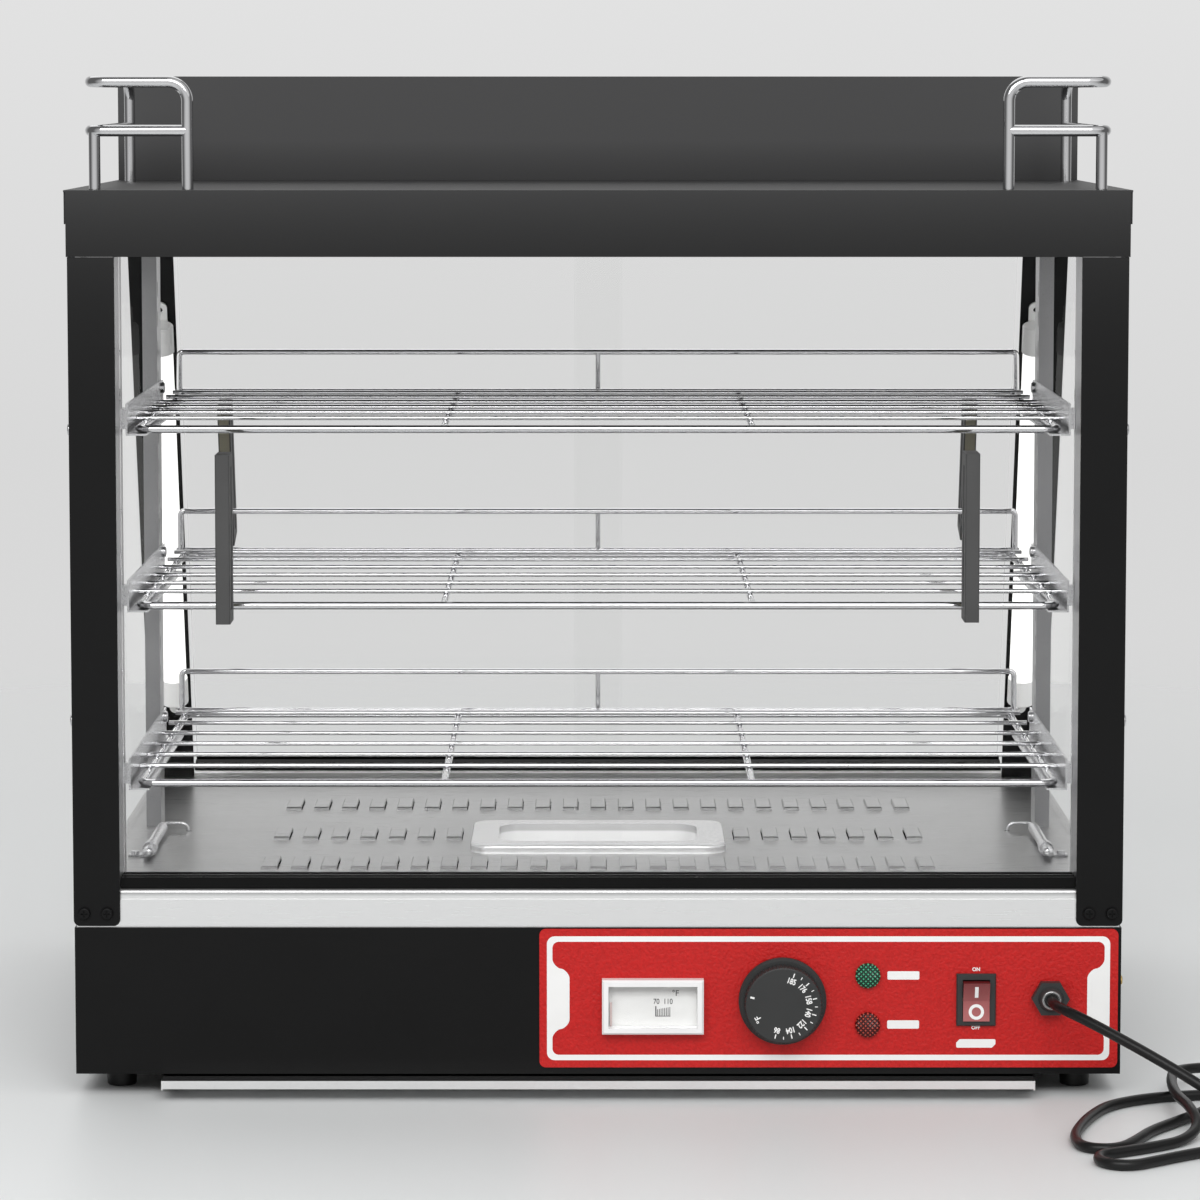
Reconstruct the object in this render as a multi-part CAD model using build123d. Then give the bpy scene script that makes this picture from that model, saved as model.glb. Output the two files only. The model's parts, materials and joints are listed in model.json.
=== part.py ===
"""Countertop food warmer: a glazed display cabinet on a heated base.

Millimetres, +Z up, X across, Y from the operator's front to the back.  Every piece is drawn
with Y = 0 on the plane of the front posts; the last section moves the whole part so that the
origin is the middle of its footprint, on the counter.
"""
from build123d import *
import math
import os

# Driving dimensions: the base
base_width = 656.0
base_depth = 480.0
foot_height = 14.0
foot_diameter = 20.0
foot_inset_x = 25.0
foot_inset_y = 35.0
base_top = 107.0
sheet = 1.2
base_ledge = 14.0
fit_gap = 0.2

# Driving dimensions: the stainless floor pan on the base
floor_level = 131.4
pan_sheet = 1.0
pan_band_height = 6.8
pan_band_setback = 1.2
louver_width = 10.5
louver_length = 38.0
louver_rise = 2.4
louver_sheet = 0.8
pan_upstand = 4.2
upstand_root = 1.6
louver_pitch = 19.2
louver_count = 23
louver_side_count = 7
louver_rows = (88.0, 200.0, 322.0)

# Driving dimensions: posts, glass and doors
post_face = 29.0
post_sheet = 1.5
post_depth = 30.0
post_foot = 108.0
post_corner = 4.0
cabinet_top = 527.0
upright_depth = 39.0
glass = 4.0
side_glass_inset = 8.0
back_plane_inset = 28.0
back_lean_run = 132.0
back_post_face = 32.6
back_post_inset = 2.0
back_post_depth = 25.0
track_height = 6.6
track_depth = 20.0
track_lip = 2.5
groove = 5.0
groove_floor = 1.5
head_track_height = 14.0
front_track_setback = 5.0
back_track_offset = 3.0
back_head_drop = 6.0
door_overlap = 30.0
door_end_gap = 1.8
door_lift = 0.4
door_head_entry = 10.0
handle_width = 9.0
handle_depth = 27.0
handle_length = 105.0
front_handle_inset = 67.5
back_handle_inset = 35.5
front_handle_middle = 353.0
back_handle_middle = 352.0
tape_gap = 0.3

# Driving dimensions: the top
top_overhang = 2.4
top_box_height = 41.2
top_lip_height = 21.0
top_lip_sheet = 1.2
fence_inset = 2.0
fence_height = 71.0
rail_diameter = 7.2
rail_front = 15.0
rail_fence_gap = 63.0
rail_side_inset = 14.7
rail_post_inset = 75.7
rail_upper_rise = 66.8
rail_lower_rise = 36.5
rail_bend = 12.0
rail_corner_bend = 10.0

# Driving dimensions: shelves and what carries them
shelf_levels = {"bottom": 196.5, "middle": 309.5, "top": 421.0}
shelf_frame_wire = 5.0
shelf_wire = 3.0
shelf_side_gap = 7.6
shelf_wire_reach = 6.0
shelf_front = 34.0
shelf_back_reach = 23.0
shelf_corner = 9.0
shelf_wire_start = 85.0
shelf_wire_end_gap = 17.0
shelf_wire_count = 6
shelf_bar_x = 97.5
shelf_bar_wire = 4.6
shelf_guard_height = 27.0
shelf_guard_wire = 4.0
shelf_stay_wire = 3.4
standard_face = 25.0
standard_depth = 9.9
standard_inset = 85.0
standard_overlap = 2.9
standard_slot_pitch = 20.0
support_sheet = 1.2
support_rise = 13.0
support_ledge = 13.0
support_start = 30.0

# Driving dimensions: lights, sensors, pan, heaters
lamp_setback = 5.0
lamp_diameter = 18.0
lamp_cap_diameter = 19.6
lamp_cap_length = 20.0
lamp_low = 66.0
lamp_length = 292.0
lamp_stand_off = 1.2
bulb_gap = 0.6
bulb_diameter = 7.0
bulb_front = 103.0
bulb_length = 102.0
bulb_height = 5.2
capillary_diameter = 2.0
pan_rim_width = 168.0
pan_rim_depth = 102.0
pan_front = 128.0
pan_basin_width = 134.0
pan_basin_depth = 70.0
pan_drop = 50.0
pan_rim_height = 5.6
pan_hole_gap = 3.0
heater_diameter = 8.0
heater_level = 90.0
heater_near_x = 100.0
heater_side_gap = 48.0
heater_bend = 36.0
saddle_half = 8.0
terminal_side_gap = 26.0
terminal_front = 90.0
terminal_width = 54.0
terminal_depth = 22.0
terminal_height = 18.0
terminal_pitch = 12.0
terminal_bore = 4.0
heater_front = 170.0
heater_back = 300.0

# Driving dimensions: crumb tray and its runners
crumb_side_gap = 55.0
crumb_sheet = 1.0
crumb_front = -17.0
crumb_back_gap = 40.0
crumb_floor = 7.2
crumb_lip_top = 13.2
crumb_lip_height = 5.2
crumb_ledge_end = 4.0
crumb_ramp_end = 14.0
runner_lip = 10.0
runner_gap = 0.8

# Driving dimensions: control panel and what sits on it
panel_side_gap = 2.0
panel_width = 362.8
panel_low = 18.3
panel_high = 106.3
panel_sheet = 1.0
panel_corner = 4.0
thermometer_inset = 291.7
thermometer_z = 57.9
thermometer_width = 63.7
thermometer_height = 34.5
thermometer_stand = 8.0
thermometer_rim = 4.0
thermometer_body_depth = 24.0
thermometer_cut = 3.2
knob_inset = 210.4
knob_z = 61.1
knob_diameter = 55.0
knob_cap_diameter = 48.5
knob_skirt = 4.5
knob_depth = 16.0
knob_gap = 1.0
knob_flutes = 60
shaft_diameter = 6.0
lamp_lens_inset = 156.9
power_lamp_z = 76.9
heating_lamp_z = 45.6
lens_diameter = 15.8
lens_body_diameter = 12.0
lens_rise = 5.0
switch_inset = 89.0
switch_z = 61.6
switch_width = 24.7
switch_height = 33.0
switch_rim = 2.5
switch_body_width = 21.8
switch_body_height = 27.8
switch_depth = 24.0
rocker_width = 16.6
rocker_height = 25.0
rocker_tilt = 9.0
gland_inset = 42.6
gland_z = 63.0
gland_flats = 20.5
gland_hex = 6.5
gland_nose = 16.0
gland_thread = 15.8
hole_gap = 0.3

# Driving dimensions: screws
screw_head = 7.6
screw_shank = 4.0
screw_rise = 2.4
screw_shank_length = 5.0
screw_gap = 0.2
earth_y = 14.0
earth_z = 71.0

# Driving dimensions: the mains cord and its plug
cord_diameter = 6.6
cord_route = [
    (0.0, -11.0, 63.0), (0.0, -22.5, 63.0), (5.1, -34.0, 62.0), (17.6, -46.0, 58.0),
    (42.6, -62.0, 47.0), (70.6, -77.0, 33.0), (96.6, -89.5, 18.0), (120.6, -97.0, 7.0),
    (144.6, -93.0, 3.4), (163.6, -74.0, 3.4), (168.6, -47.0, 3.4), (156.6, -22.0, 3.4),
    (129.6, -11.0, 3.4), (96.6, -12.0, 3.4), (62.6, -19.0, 3.4), (32.6, -40.0, 3.4),
    (12.6, -71.0, 3.4), (0.6, -101.0, 3.4), (-5.4, -124.0, 3.4), (-2.4, -143.0, 3.4),
    (9.6, -152.0, 3.4), (22.6, -146.0, 3.4), (32.6, -128.0, 3.4), (45.6, -102.0, 3.4),
    (66.6, -76.0, 3.4), (90.6, -52.0, 4.4), (108.6, -36.0, 9.0), (123.6, -20.0, 12.6),
    (133.6, 2.0, 12.6), (126.6, 25.0, 10.4), (105.6, 34.0, 9.4), (85.6, 24.0, 10.6),
    (74.6, 2.0, 12.6), (70.6, -24.0, 12.6), (68.6, -54.0, 12.6), (70.6, -82.0, 12.6),
    (71.6, -108.0, 7.0), (60.6, -129.0, 3.4), (38.6, -145.0, 3.4), (18.6, -157.0, 3.4),
    (4.6, -168.0, 3.4), (-0.4, -183.0, 3.4), (7.6, -196.0, 3.4), (22.6, -196.0, 3.4),
    (39.6, -184.0, 3.4), (62.6, -167.0, 3.4), (88.6, -153.0, 3.6), (115.6, -144.0, 6.0),
    (136.6, -140.5, 10.0), (156.6, -140.5, 10.0),
]
plug_width = 26.0
plug_height = 20.0
plug_length = 34.0
plug_relief = 22.0
plug_relief_diameter = 11.0
blade_length = 18.0
blade_height = 6.4
blade_thickness = 1.5
blade_spacing = 12.7
earth_pin_diameter = 4.8

# Worked-out places
half_base = base_width / 2
half_top = half_base + top_overhang
top_height = cabinet_top + top_box_height
post_outer = half_base + 0.5
post_inner = post_outer - post_face
front_handle_x = post_inner - front_handle_inset
back_handle_x = post_inner - back_handle_inset
standard_inner_x = post_inner - standard_overlap
shelf_half_width = standard_inner_x - shelf_side_gap
lamp_x = post_inner + lamp_setback
bulb_x = standard_inner_x - bulb_gap - bulb_diameter / 2
crumb_width = base_width - 2 * crumb_side_gap
crumb_back = base_depth - crumb_back_gap
back_plane_bottom = base_depth - back_plane_inset
back_plane_top = back_plane_bottom - back_lean_run
fence_y = back_plane_top - fence_inset
rail_back = fence_y - rail_fence_gap
standard_front = back_plane_top - standard_inset
shelf_back = back_plane_top + shelf_back_reach
shelf_wire_pitch = (shelf_back - shelf_wire_end_gap - shelf_wire_start) / (shelf_wire_count - 1)
panel_right = half_base - panel_side_gap
panel_left = panel_right - panel_width
thermometer_x = panel_right - thermometer_inset
knob_x = panel_right - knob_inset
lamp_lens_x = panel_right - lamp_lens_inset
switch_x = panel_right - switch_inset
gland_x = panel_right - gland_inset
pan_half = post_outer - post_sheet - fit_gap
pan_front_face = post_sheet + 0.1
pan_back_face = base_depth - pan_front_face
lean = math.degrees(math.atan2(back_plane_bottom - back_plane_top, cabinet_top - floor_level))
slope_length = (cabinet_top - floor_level) / math.cos(math.radians(lean))
slope = Pos(0, back_plane_bottom, floor_level) * Rot(lean, 0, 0)
back_post_outer = post_outer - back_post_inset
back_post_inner = back_post_outer - back_post_face
back_half = back_post_inner - fit_gap
front_track_back = front_track_setback + track_depth
pan_back = pan_front + pan_rim_depth
pan_middle = (pan_front + pan_back) / 2
upright_back = pan_front_face + upright_depth
support_back = standard_front + standard_face + 2
support_outer = standard_inner_x - fit_gap
support_inner = support_outer - support_sheet
knob_front = -panel_sheet - knob_gap - knob_depth
shank_hole = screw_shank + 2 * screw_gap
handle_reach = handle_depth + tape_gap - (front_track_setback + track_lip + (groove - glass) / 2)
front_reach = max(handle_reach, -knob_front, -crumb_front)
front_y = (front_reach - base_depth) / 2
parts = {}


def back_plane_y(z):
    """How far back the plane of the back posts lies at height z."""
    return back_plane_bottom - (z - floor_level) * math.tan(math.radians(lean))


def block(x0, x1, y0, y1, z0, z1):
    """A box between two corners."""
    return Pos((x0 + x1) / 2, (y0 + y1) / 2, (z0 + z1) / 2) * Box(x1 - x0, y1 - y0, z1 - z0)


def across(half, y0, y1, z0, z1):
    """A box that is centred across the part."""
    return block(-half, half, y0, y1, z0, z1)


def rod_x(x0, x1, y, z, diameter):
    """A round bar along X."""
    return Pos((x0 + x1) / 2, y, z) * Rot(0, 90, 0) * Cylinder(diameter / 2, x1 - x0)


def rod_y(x, y0, y1, z, diameter):
    """A round bar along Y."""
    return Pos(x, (y0 + y1) / 2, z) * Rot(90, 0, 0) * Cylinder(diameter / 2, y1 - y0)


def rod_z(x, y, z0, z1, diameter):
    """A round bar along Z."""
    return Pos(x, y, (z0 + z1) / 2) * Cylinder(diameter / 2, z1 - z0)


def wire(points, radius, diameter, close=False):
    """A round wire along straight runs with one bend radius."""
    path = FilletPolyline(*points, radius=radius, close=close)
    face = Plane(origin=path @ 0, z_dir=path % 0) * Circle(diameter / 2)
    return sweep(face, path=path)


def mirrored(piece):
    """The same piece on the other side."""
    return mirror(piece, about=Plane.YZ)


def panel_plate(x0, x1, z0, z1, y0, y1, corner):
    """An upright plate in X and Z with rounded corners."""
    outline = Plane.XZ * Pos((x0 + x1) / 2, (z0 + z1) / 2) * RectangleRounded(x1 - x0, z1 - z0, corner)
    return Pos(0, y1, 0) * extrude(outline, y1 - y0)


def panel_holes(y0, y1):
    """What the panel's fittings pass through."""
    half_w = thermometer_width / 2 - thermometer_cut + hole_gap
    half_h = thermometer_height / 2 - thermometer_cut + hole_gap
    switch_w = switch_body_width / 2 + hole_gap
    switch_h = switch_body_height / 2 + hole_gap
    return [
        block(thermometer_x - half_w, thermometer_x + half_w, y0, y1,
              thermometer_z - half_h, thermometer_z + half_h),
        block(switch_x - switch_w, switch_x + switch_w, y0, y1, switch_z - switch_h, switch_z + switch_h),
        rod_y(knob_x, y0, y1, knob_z, shaft_diameter + 4 + 2 * hole_gap),
        rod_y(lamp_lens_x, y0, y1, power_lamp_z, lens_body_diameter + 2 * hole_gap),
        rod_y(lamp_lens_x, y0, y1, heating_lamp_z, lens_body_diameter + 2 * hole_gap),
        rod_y(gland_x, y0, y1, gland_z, gland_thread + 2 * hole_gap),
    ]


# Base housing, its bottom plate and its feet
foot_x = half_base - foot_inset_x
foot_places = [(sx * foot_x, y) for sx in (-1, 1) for y in (foot_inset_y, base_depth - foot_inset_y)]

housing = across(half_base, 0, base_depth, foot_height, base_top)
housing -= across(half_base - sheet, sheet, base_depth - sheet, foot_height, base_top - sheet)
housing -= across(half_base - base_ledge, base_ledge, base_depth - base_ledge, foot_height, base_top)
housing -= panel_holes(0, sheet)
housing -= rod_x(half_base - sheet, half_base, earth_y, earth_z, shank_hole)
parts["base_housing"] = housing

plate_half = half_base - sheet - fit_gap
plate_top = foot_height + sheet
bottom = across(plate_half, sheet + fit_gap, base_depth - sheet - fit_gap, foot_height, plate_top)
runner_x = crumb_width / 2 + runner_gap
runners = []
for side in (-1, 1):
    web = sorted((side * runner_x, side * (runner_x + sheet)))
    lip = sorted((side * (runner_x + sheet), side * (runner_x - runner_lip)))
    lip_top = crumb_floor - fit_gap
    runners.append(block(*web, 0.5 * base_ledge, crumb_back + 10, lip_top - sheet, foot_height)
                   + block(*lip, 0.5 * base_ledge, crumb_back + 10, lip_top - sheet, lip_top))
parts["base_plate"] = Compound([bottom] + runners)

foot = Pos(0, 0, foot_height / 2) * Cone(foot_diameter / 2 - 0.8, foot_diameter / 2, foot_height)
foot = fillet(foot.edges().group_by(Axis.Z)[0], 1.2)
parts["feet"] = Compound([Pos(x, y, 0) * foot for x, y in foot_places])

# Crumb tray: a shallow pull-out sheet whose front rises to a level ledge with a folded lip
half_crumb = crumb_width / 2
lip_low = crumb_lip_top - crumb_lip_height
lip_back = crumb_front + crumb_sheet
profile = Plane.YZ * make_face(Polyline(
    (crumb_front, lip_low), (crumb_front, crumb_lip_top), (crumb_ledge_end, crumb_lip_top),
    (crumb_ramp_end, crumb_floor + crumb_sheet), (crumb_back, crumb_floor + crumb_sheet),
    (crumb_back, crumb_floor), (crumb_ramp_end - crumb_sheet / 2, crumb_floor),
    (crumb_ledge_end - crumb_sheet / 2, crumb_lip_top - crumb_sheet),
    (lip_back, crumb_lip_top - crumb_sheet), (lip_back, lip_low), close=True))
tray = Pos(-half_crumb, 0, 0) * extrude(profile, crumb_width)
for side in (-1, 1):
    wall = sorted((side * half_crumb, side * (half_crumb - crumb_sheet)))
    tray += block(*wall, crumb_front, crumb_back, crumb_floor, crumb_lip_top)
tray += across(half_crumb, crumb_back - crumb_sheet, crumb_back, crumb_floor, crumb_lip_top)
parts["crumb_tray"] = tray

# Stainless floor pan: a folded tray, upside down, with louvers and the water pan's opening
band_low = floor_level - pan_band_height
band_half = pan_half - pan_band_setback
band_front = pan_front_face + pan_band_setback
band_back = pan_back_face - pan_band_setback


def pan_form(inset):
    """The pan's outer form, drawn in by its sheet for the inside."""
    skirt = across(pan_half - inset, pan_front_face + inset, pan_back_face - inset,
                   base_top, band_low - inset)
    band = across(band_half - inset, band_front + inset, band_back - inset, base_top, floor_level - inset)
    roll = fillet(band.edges().group_by(Axis.Z)[-1], 3.6 - inset)
    return skirt + roll


def louver(x, y, opens):
    """A pressed hood that is open along one long side, and the slot under it."""
    z = floor_level
    hood = Pos(x, y, z + louver_rise / 2) * Box(louver_width, louver_length, louver_rise)
    hood = chamfer(hood.edges().group_by(Axis.Z)[-1], 0.7)
    gap = louver_width - louver_sheet
    slot_x = x + opens * louver_sheet
    slot = Pos(slot_x, y, z + (louver_rise - louver_sheet - pan_sheet) / 2) * Box(
        gap + 0.01, louver_length - 2 * louver_sheet, louver_rise - louver_sheet + pan_sheet)
    return hood, slot


louver_start = -(louver_count - 1) / 2 * louver_pitch
louvers = [louver(louver_start + i * louver_pitch, y, 1)
           for y in (louver_rows[0], louver_rows[2]) for i in range(louver_count)]
for side in (-1, 1):
    louvers += [louver(side * (-louver_start - i * louver_pitch), louver_rows[1], -side)
                for i in range(louver_side_count)]
hole_half = pan_basin_width / 2 + pan_hole_gap
hole_reach = pan_basin_depth / 2 + pan_hole_gap
capillary_hole_x = bulb_x - 16
capillary_hole_y = bulb_front + bulb_length + 14
pan = pan_form(0) - pan_form(pan_sheet)
pan -= across(hole_half, pan_middle - hole_reach, pan_middle + hole_reach, base_top, floor_level)
pan += [hood for hood, _ in louvers]
pan -= [slot for _, slot in louvers]
pan -= [rod_z(side * capillary_hole_x, capillary_hole_y, band_low, floor_level, capillary_diameter + 2)
        for side in (-1, 1)]
post_screw_z = post_foot + 8
post_screw_x = (post_outer - 6.7, post_outer - 20.9)
pan -= [rod_y(side * x, pan_front_face, pan_front_face + pan_sheet, post_screw_z, shank_hole)
        for side in (-1, 1) for x in post_screw_x]
upstand_back = back_track_offset - fit_gap
pan += slope * across(back_half, upstand_back - pan_sheet, upstand_back, -upstand_root, pan_upstand)
parts["floor_pan"] = pan

# Lift-out water pan
rim_low = floor_level + 0.05
rim_top = rim_low + pan_rim_height
rim = Pos(0, pan_middle, (rim_low + rim_top) / 2) * Box(pan_rim_width, pan_rim_depth, pan_rim_height)
rim = fillet(rim.edges().filter_by(Axis.Z), 13)
rim = fillet(rim.edges().group_by(Axis.Z)[-1], 2)
under = Pos(0, pan_middle, (rim_low + rim_top - crumb_sheet) / 2) * Box(
    pan_rim_width - 2 * crumb_sheet, pan_rim_depth - 2 * crumb_sheet, rim_top - crumb_sheet - rim_low)
under = fillet(under.edges().filter_by(Axis.Z), 12)
basin_low = floor_level - pan_drop


def basin(inset, top):
    """The basin's form, drawn in by its sheet for the inside."""
    low = basin_low + inset
    body = Pos(0, pan_middle, (low + top) / 2) * Box(
        pan_basin_width - 2 * inset, pan_basin_depth - 2 * inset, top - low)
    body = fillet(body.edges().filter_by(Axis.Z), 16 - inset)
    return fillet(body.edges().group_by(Axis.Z)[0], 10 - inset)


parts["water_pan"] = rim - under + basin(0, rim_top - crumb_sheet) - basin(crumb_sheet, rim_top + 1)

# Front posts, with a folded side flange, and the steel uprights behind them
foot_screws = [rod_y(x, 0, post_sheet, post_screw_z, shank_hole) for x in post_screw_x]
side_screw_y = post_depth / 2
side_screw_z = (236.0, 419.0)
post = block(post_inner, post_outer, 0, post_sheet, post_foot, cabinet_top - fit_gap)
post = fillet(post.edges().filter_by(Axis.Y).group_by(Axis.Z)[0], post_corner)
post += block(post_outer - post_sheet, post_outer, 0, post_depth,
              post_foot + post_corner, cabinet_top - fit_gap)
post -= foot_screws
post -= [rod_x(post_outer - post_sheet, post_outer, side_screw_y, z, shank_hole) for z in side_screw_z]
parts["front_post_right"] = post
parts["front_post_left"] = mirrored(post)

upright_x = post_inner
upright = block(upright_x, post_outer - post_sheet - fit_gap, pan_front_face, pan_front_face + pan_sheet,
                floor_level + fit_gap, cabinet_top - fit_gap)
upright += block(upright_x, upright_x + pan_sheet, pan_front_face, upright_back,
                 floor_level + fit_gap, cabinet_top - fit_gap)
parts["front_uprights"] = Compound([upright, mirrored(upright)])

# Leaning back posts, cut level at the floor pan and under the top
post = block(back_post_inner, back_post_outer, 0, post_sheet, -30, slope_length + 30)
post += block(back_post_outer - post_sheet, back_post_outer, 0, back_post_depth, -30, slope_length + 30)
post = slope * post
post -= across(half_top, 0, base_depth + 60, 0, floor_level + 0.05)
post -= across(half_top, 0, base_depth + 60, cabinet_top - fit_gap, top_height)
parts["back_post_right"] = post
parts["back_post_left"] = mirrored(post)

# Fixed side panes
pane_outer = post_outer - side_glass_inset
pane_low = floor_level + fit_gap
pane_high = cabinet_top - fit_gap
pane_front = pan_front_face + pan_sheet + fit_gap
pane_outline = Plane.YZ * make_face(Polyline(
    (pane_front, pane_low), (back_plane_y(pane_low) - 0.5, pane_low),
    (back_plane_y(pane_high) - 0.5, pane_high), (pane_front, pane_high), close=True))
pane = Pos(pane_outer - glass, 0, 0) * extrude(pane_outline, glass)
parts["side_panes"] = Compound([pane, mirrored(pane)])

# Sliding-door tracks: two grooves each, on the floor pan and in the top
groove_starts = (track_lip, track_depth - track_lip - groove)


def track(half, y0, z0, z1, groove_low, groove_high):
    """A bar across the opening with two grooves along it."""
    bar = across(half, y0, y0 + track_depth, z0, z1)
    return bar - [across(half, y0 + g, y0 + g + groove, groove_low, groove_high) for g in groove_starts]


sill_top = floor_level + track_height
front_half = post_inner - fit_gap
lower = track(front_half, front_track_setback, floor_level + 0.05, sill_top,
              floor_level + groove_floor, sill_top)
head_top = cabinet_top + head_track_height
upper = track(front_half, front_track_setback, cabinet_top, head_top,
              cabinet_top, head_top - groove_floor)
parts["front_tracks"] = Compound([lower, upper])

lower = slope * track(back_half, back_track_offset, -14, track_height, groove_floor, track_height)
lower -= across(half_top, 0, base_depth + 60, 0, floor_level + 0.05)
head_low = slope_length - back_head_drop
head_high = slope_length + head_track_height
upper = slope * track(back_half, back_track_offset, head_low, head_high, head_low, head_high - groove_floor)
parts["back_tracks"] = Compound([lower, upper])


# Sliding glass doors and their stuck-on handles
def pane_pair(half, y0, z0, z1):
    """The left pane in the first groove and the right pane in the second."""
    inset = (groove - glass) / 2
    y_first, y_second = (y0 + g + inset for g in groove_starts)
    reach = half - door_end_gap
    lap = door_overlap / 2
    left = block(-reach, lap, y_first, y_first + glass, z0, z1)
    right = block(-lap, reach, y_second, y_second + glass, z0, z1)
    edges = [chamfer(p.edges().filter_by(Axis.Z), 0.5) for p in (left, right)]
    return edges[0], edges[1], y_first, y_second


def handle(x, y0, y1, middle):
    """A slim pull with a finger hollow along each side."""
    half = handle_length / 2
    bar = block(x - handle_width / 2, x + handle_width / 2, y0, y1, middle - half, middle + half)
    bar = fillet(bar.edges().filter_by(Axis.Z), 1.2)
    hollow = handle_length - 16
    for side in (-1, 1):
        bar -= Pos(x + side * (handle_width / 2 + 5.2), (y0 + y1) / 2, middle) * Cylinder(6.8, hollow)
    return bar


front_left, front_right, y_left, y_right = pane_pair(
    front_half, front_track_setback, floor_level + groove_floor + door_lift, cabinet_top + door_head_entry)
parts["front_door_left"] = front_left
parts["front_door_right"] = front_right
parts["front_handle_left"] = handle(
    -front_handle_x, y_left - tape_gap - handle_depth, y_left - tape_gap, front_handle_middle)
parts["front_handle_right"] = handle(
    front_handle_x, y_right - tape_gap - handle_depth, y_right - tape_gap, front_handle_middle)

back_left, back_right, n_left, n_right = pane_pair(
    back_half, back_track_offset, groove_floor + door_lift, slope_length + door_head_entry)
parts["back_door_left"] = slope * back_left
parts["back_door_right"] = slope * back_right
back_middle = (back_handle_middle - floor_level) / math.cos(math.radians(lean))
parts["back_handle_left"] = slope * handle(
    -back_handle_x, n_left + glass + tape_gap, n_left + glass + tape_gap + handle_depth, back_middle)
parts["back_handle_right"] = slope * handle(
    back_handle_x, n_right + glass + tape_gap, n_right + glass + tape_gap + handle_depth, back_middle)

# Top box: a folded shell that follows the back's lean, its ceiling, and its cover with the fence
box_back = (back_track_offset + track_depth + 2) / math.cos(math.radians(lean))
box_half = half_top - top_lip_sheet
shell_top = top_height - top_lip_sheet
cover_back = back_plane_y(top_height) + box_back


def top_form(inset):
    """The top box's form, open below, drawn in by its sheet for the inside."""
    outline = Plane.YZ * make_face(Polyline(
        (inset, cabinet_top), (inset, shell_top - inset),
        (back_plane_y(shell_top) + box_back - inset, shell_top - inset),
        (back_plane_y(cabinet_top) + box_back - inset, cabinet_top), close=True))
    half = box_half - inset
    return Pos(-half, 0, 0) * extrude(outline, 2 * half)


top_screw_y = (40.0, 250.0)
top_screw_z = cabinet_top + 9
shell = top_form(0) - top_form(sheet)
shell -= [rod_x(-box_half, box_half, y, top_screw_z, shank_hole) for y in top_screw_y]
parts["top_box"] = shell

ceiling_half = box_half - sheet - fit_gap
parts["ceiling_plate"] = across(ceiling_half, front_track_back + fit_gap, back_plane_y(cabinet_top),
                                cabinet_top, cabinet_top + sheet)

cover = across(half_top, 0, cover_back, shell_top, top_height)
for side in (-1, 1):
    lip = sorted((side * box_half, side * half_top))
    cover += block(*lip, 2, cover_back - 6, top_height - top_lip_height, top_height - 1)
cover += across(half_top, fence_y, fence_y + sheet, top_height - 0.5, top_height + fence_height)
parts["top_cover"] = cover

# Guard rails on the top: an upper tube that turns down at both ends, a lower tube and a short post
rail_x = half_top - rail_side_inset
rail_post_x = half_top - rail_post_inset
rail_upper = top_height + rail_upper_rise
rail_lower = top_height + rail_lower_rise
upper = wire([(rail_post_x, rail_front, top_height), (rail_post_x, rail_front, rail_upper),
              (rail_x, rail_front, rail_upper), (rail_x, rail_back, rail_upper),
              (rail_x, rail_back, top_height)], rail_bend, rail_diameter)
lower = wire([(rail_post_x, rail_front, rail_lower), (rail_x, rail_front, rail_lower),
              (rail_x, rail_back, rail_lower)], rail_corner_bend, rail_diameter)
corner_step = rail_corner_bend * (1 - math.sqrt(0.5))
stub = rod_z(rail_x - corner_step, rail_front + corner_step, top_height, rail_lower, rail_diameter)
rail = upper + lower + stub
parts["guard_rail_right"] = rail
parts["guard_rail_left"] = mirrored(rail)

# Wire shelves with a guard along the back
frame_drop = (shelf_frame_wire + shelf_wire) / 2 - 0.6


def shelf(level):
    """A welded wire shelf: a bent frame, two bars, cross wires and the back guard."""
    z = level - frame_drop
    half = shelf_half_width
    grid = wire([(-half, shelf_front, z), (half, shelf_front, z), (half, shelf_back, z),
                 (-half, shelf_back, z)], shelf_corner, shelf_frame_wire, close=True)
    grid += [rod_y(side * shelf_bar_x, shelf_front, shelf_back, z, shelf_bar_wire) for side in (-1, 1)]
    wire_end = half + shelf_wire_reach
    places = [shelf_wire_start + i * shelf_wire_pitch for i in range(shelf_wire_count)] + [shelf_back]
    grid += [rod_x(-wire_end, wire_end, y, level, shelf_wire) for y in places]
    guard_x = wire_end - shelf_guard_wire / 2 - 1
    guard_z = level + shelf_guard_height
    guard_low = level - shelf_wire / 4
    grid += wire([(-guard_x, shelf_back, guard_low), (-guard_x, shelf_back, guard_z),
                  (guard_x, shelf_back, guard_z), (guard_x, shelf_back, guard_low)], 3, shelf_guard_wire)
    return grid + rod_z(0, shelf_back, z, guard_z, shelf_stay_wire)


ledge_top = frame_drop + shelf_frame_wire / 2 + 0.1


def shelf_support(level):
    """An angle that hangs on the slotted standard and on the front upright."""
    low = level - ledge_top - support_sheet
    angle = block(support_inner, support_outer, support_start, support_back, low, level + support_rise)
    angle += block(support_outer - support_ledge, support_outer, support_start, support_back,
                   low, low + support_sheet)
    angle += block(support_inner, upright_x - fit_gap, support_start, upright_back - 2,
                   level - 3, level + support_rise - 3)
    return angle - rod_x(support_inner, support_outer, standard_middle, level + pin_rise, shank_hole)


standard_middle = standard_front + standard_face / 2
pin_rise = 8.5
for name, level in shelf_levels.items():
    parts[f"shelf_{name}"] = shelf(level)
    right = shelf_support(level)
    parts[f"shelf_supports_{name}"] = Compound([right, mirrored(right)])

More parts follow.
